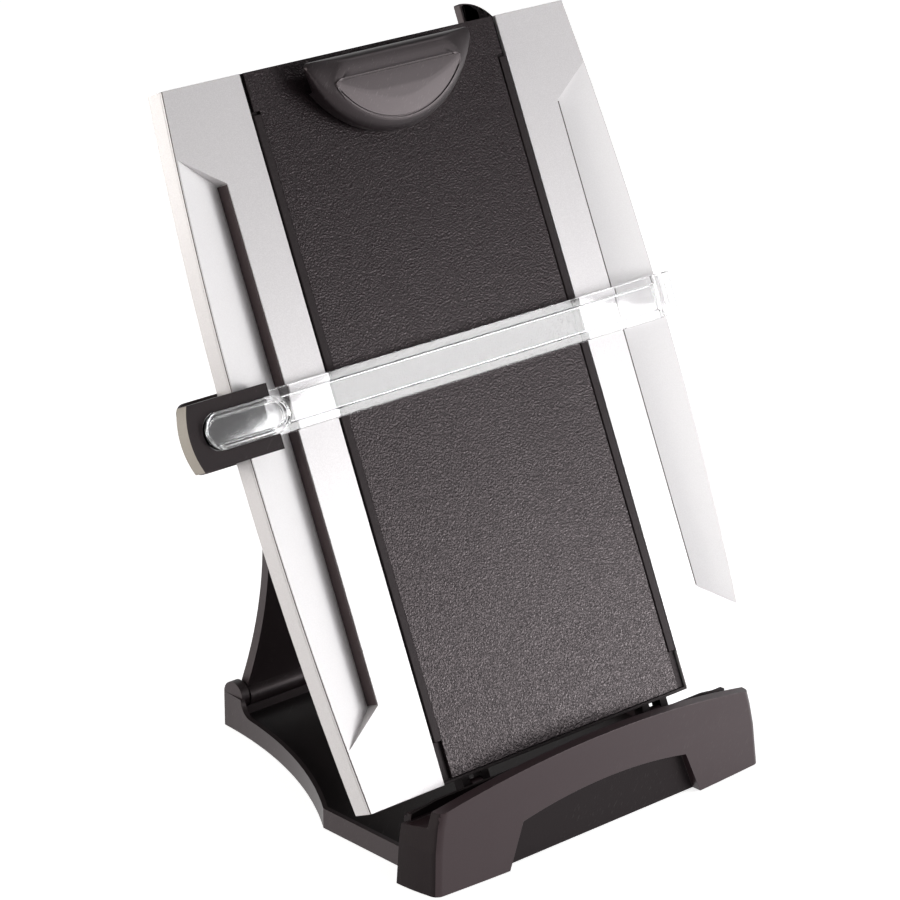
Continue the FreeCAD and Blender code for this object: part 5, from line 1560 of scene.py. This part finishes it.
@dataclass(frozen=True)
class CameraSetting:
    """The main view of the holder."""

    place: Point = (-1.0501, -1.0760, 0.7426)
    heading: float = math.radians(42.33)
    elevation: float = math.radians(20.87)
    lens: float = 152.69
    sensor: float = 36.0
    far: float = 50.0

    def build(self) -> None:
        """Place the camera and make it the scene's own."""
        data = bpy.data.cameras.new("main_camera")
        data.lens = self.lens
        data.sensor_width = self.sensor
        data.clip_end = self.far
        level = math.cos(self.elevation)
        look = Vector((level * math.sin(self.heading), level * math.cos(self.heading),
                       -math.sin(self.elevation)))
        bpy.context.scene.camera = aimed("main_camera", data, self.place, look)


@dataclass(frozen=True)
class Studio:
    """Floor, world, lamps and camera round the holder."""

    ambient: float = 0.13
    paper_glow: float = 0.75
    paper_roughness: float = 0.9
    paper_specular: float = 0.1
    paper_tones: tuple[Colour, Colour] = ((0.80, 0.80, 0.80), (0.82, 0.82, 0.82))
    fibres: float = 300.0
    floor_reach: float = 12.0
    camera: CameraSetting = CameraSetting()
    lamps: tuple[Softbox, ...] = (
        Softbox("sheen_front_right", (0.765, -0.966, 0.418), (0.167, -0.277, 0.152), 0.66, 5.1,
                height=0.42, oval=True),
        Softbox("low_front_right", (0.90, -0.78, 0.13), (0.0, 0.0, 0.04), 0.50, 6.2, height=0.22),
        Softbox("facet_right", (0.90, -0.29, 0.17), (0.0, 0.03, 0.13), 0.50, 0.8, height=0.34),
        Softbox("facet_front", (0.235, -0.90, 0.38), (0.05, 0.03, 0.13), 0.50, 1.2, height=0.36),
        Softbox("high_right", (0.70, -0.40, 0.98), (0.0, 0.13, 0.33), 0.34, 1.6),
        Softbox("top_soft", (0.1, 0.2, 1.6), (0.0, 0.0, 0.1), 1.3, 2.0),
        Softbox("back_soft", (1.25, 1.45, 0.85), (0.0, 0.0, 0.1), 1.2, 3.0),
        Softbox("left_wall", (-1.3, 0.1, 0.45), (0.0, 0.05, 0.15), 0.7, 11.0, colour=WARM),
        Softbox("left_low", (-0.9, 1.0, 0.12), (0.0, 0.1, 0.03), 0.6, 2.2, height=0.20,
                colour=WARM),
    )

    def seen(self, sheet: NodeSheet) -> bpy.types.NodeSocket:
        """1 where the backdrop is seen directly, mirrored or through something clear."""
        return sheet.maths("MAXIMUM", sheet.rays("Camera"),
                           sheet.maths("MAXIMUM", sheet.rays("Glossy"),
                                       sheet.rays("Transmission")))

    def build_floor(self) -> None:
        """A pale floor that the holder stands on."""
        mesh = bpy.data.meshes.new("studio_floor")
        corners = [(across * self.floor_reach, back * self.floor_reach, 0.0)
                   for across, back in ((-1, -1), (1, -1), (1, 1), (-1, 1))]
        mesh.from_pydata(corners, [], [(0, 1, 2, 3)])
        floor = add_object("studio_floor", mesh)
        material, sheet, shader = new_material("studio_floor_paper")
        fibre = sheet.noise(self.fibres, detail=3.0)
        sheet.fill(shader, {
            "Base Color": sheet.mix(fibre, *self.paper_tones),
            "Roughness": self.paper_roughness,
            "Specular IOR Level": self.paper_specular,
            "Emission Color": (*WHITE, 1.0),
            "Emission Strength": sheet.product(self.seen(sheet), self.paper_glow)})
        mesh.materials.append(material)

    def build_world(self) -> None:
        """White where it is seen directly or through something clear, a plain grey as a light."""
        world = bpy.data.worlds.new("studio_world")
        world.use_nodes = True
        bpy.context.scene.world = world
        sheet = NodeSheet(world.node_tree)
        direct = sheet.maths("MAXIMUM", sheet.rays("Camera"), sheet.rays("Transmission"))
        level = sheet.maths("ADD", self.ambient, sheet.product(direct, 1.0 - self.ambient))
        sheet.fill(world.node_tree.nodes["Background"],
                   {"Color": (*WHITE, 1.0), "Strength": level})

    def build(self) -> None:
        """Set up the whole studio."""
        self.build_floor()
        self.build_world()
        for lamp in self.lamps:
            lamp.build()
        self.camera.build()
        bpy.context.scene.view_settings.view_transform = "Standard"


def main() -> None:
    """Dress every assembly and set up the studio."""
    logging.basicConfig(level=logging.INFO, format="%(name)s: %(message)s")
    for assembly in (BaseAssembly(), PanelAssembly(), ClipAssembly(ClipSizes()),
                     GuideAssembly(), MemoAssembly(), StrutAssembly()):
        log.info("building %s", type(assembly).__name__)
        assembly.build()
    Studio().build()


if __name__ == "__main__":
    main()
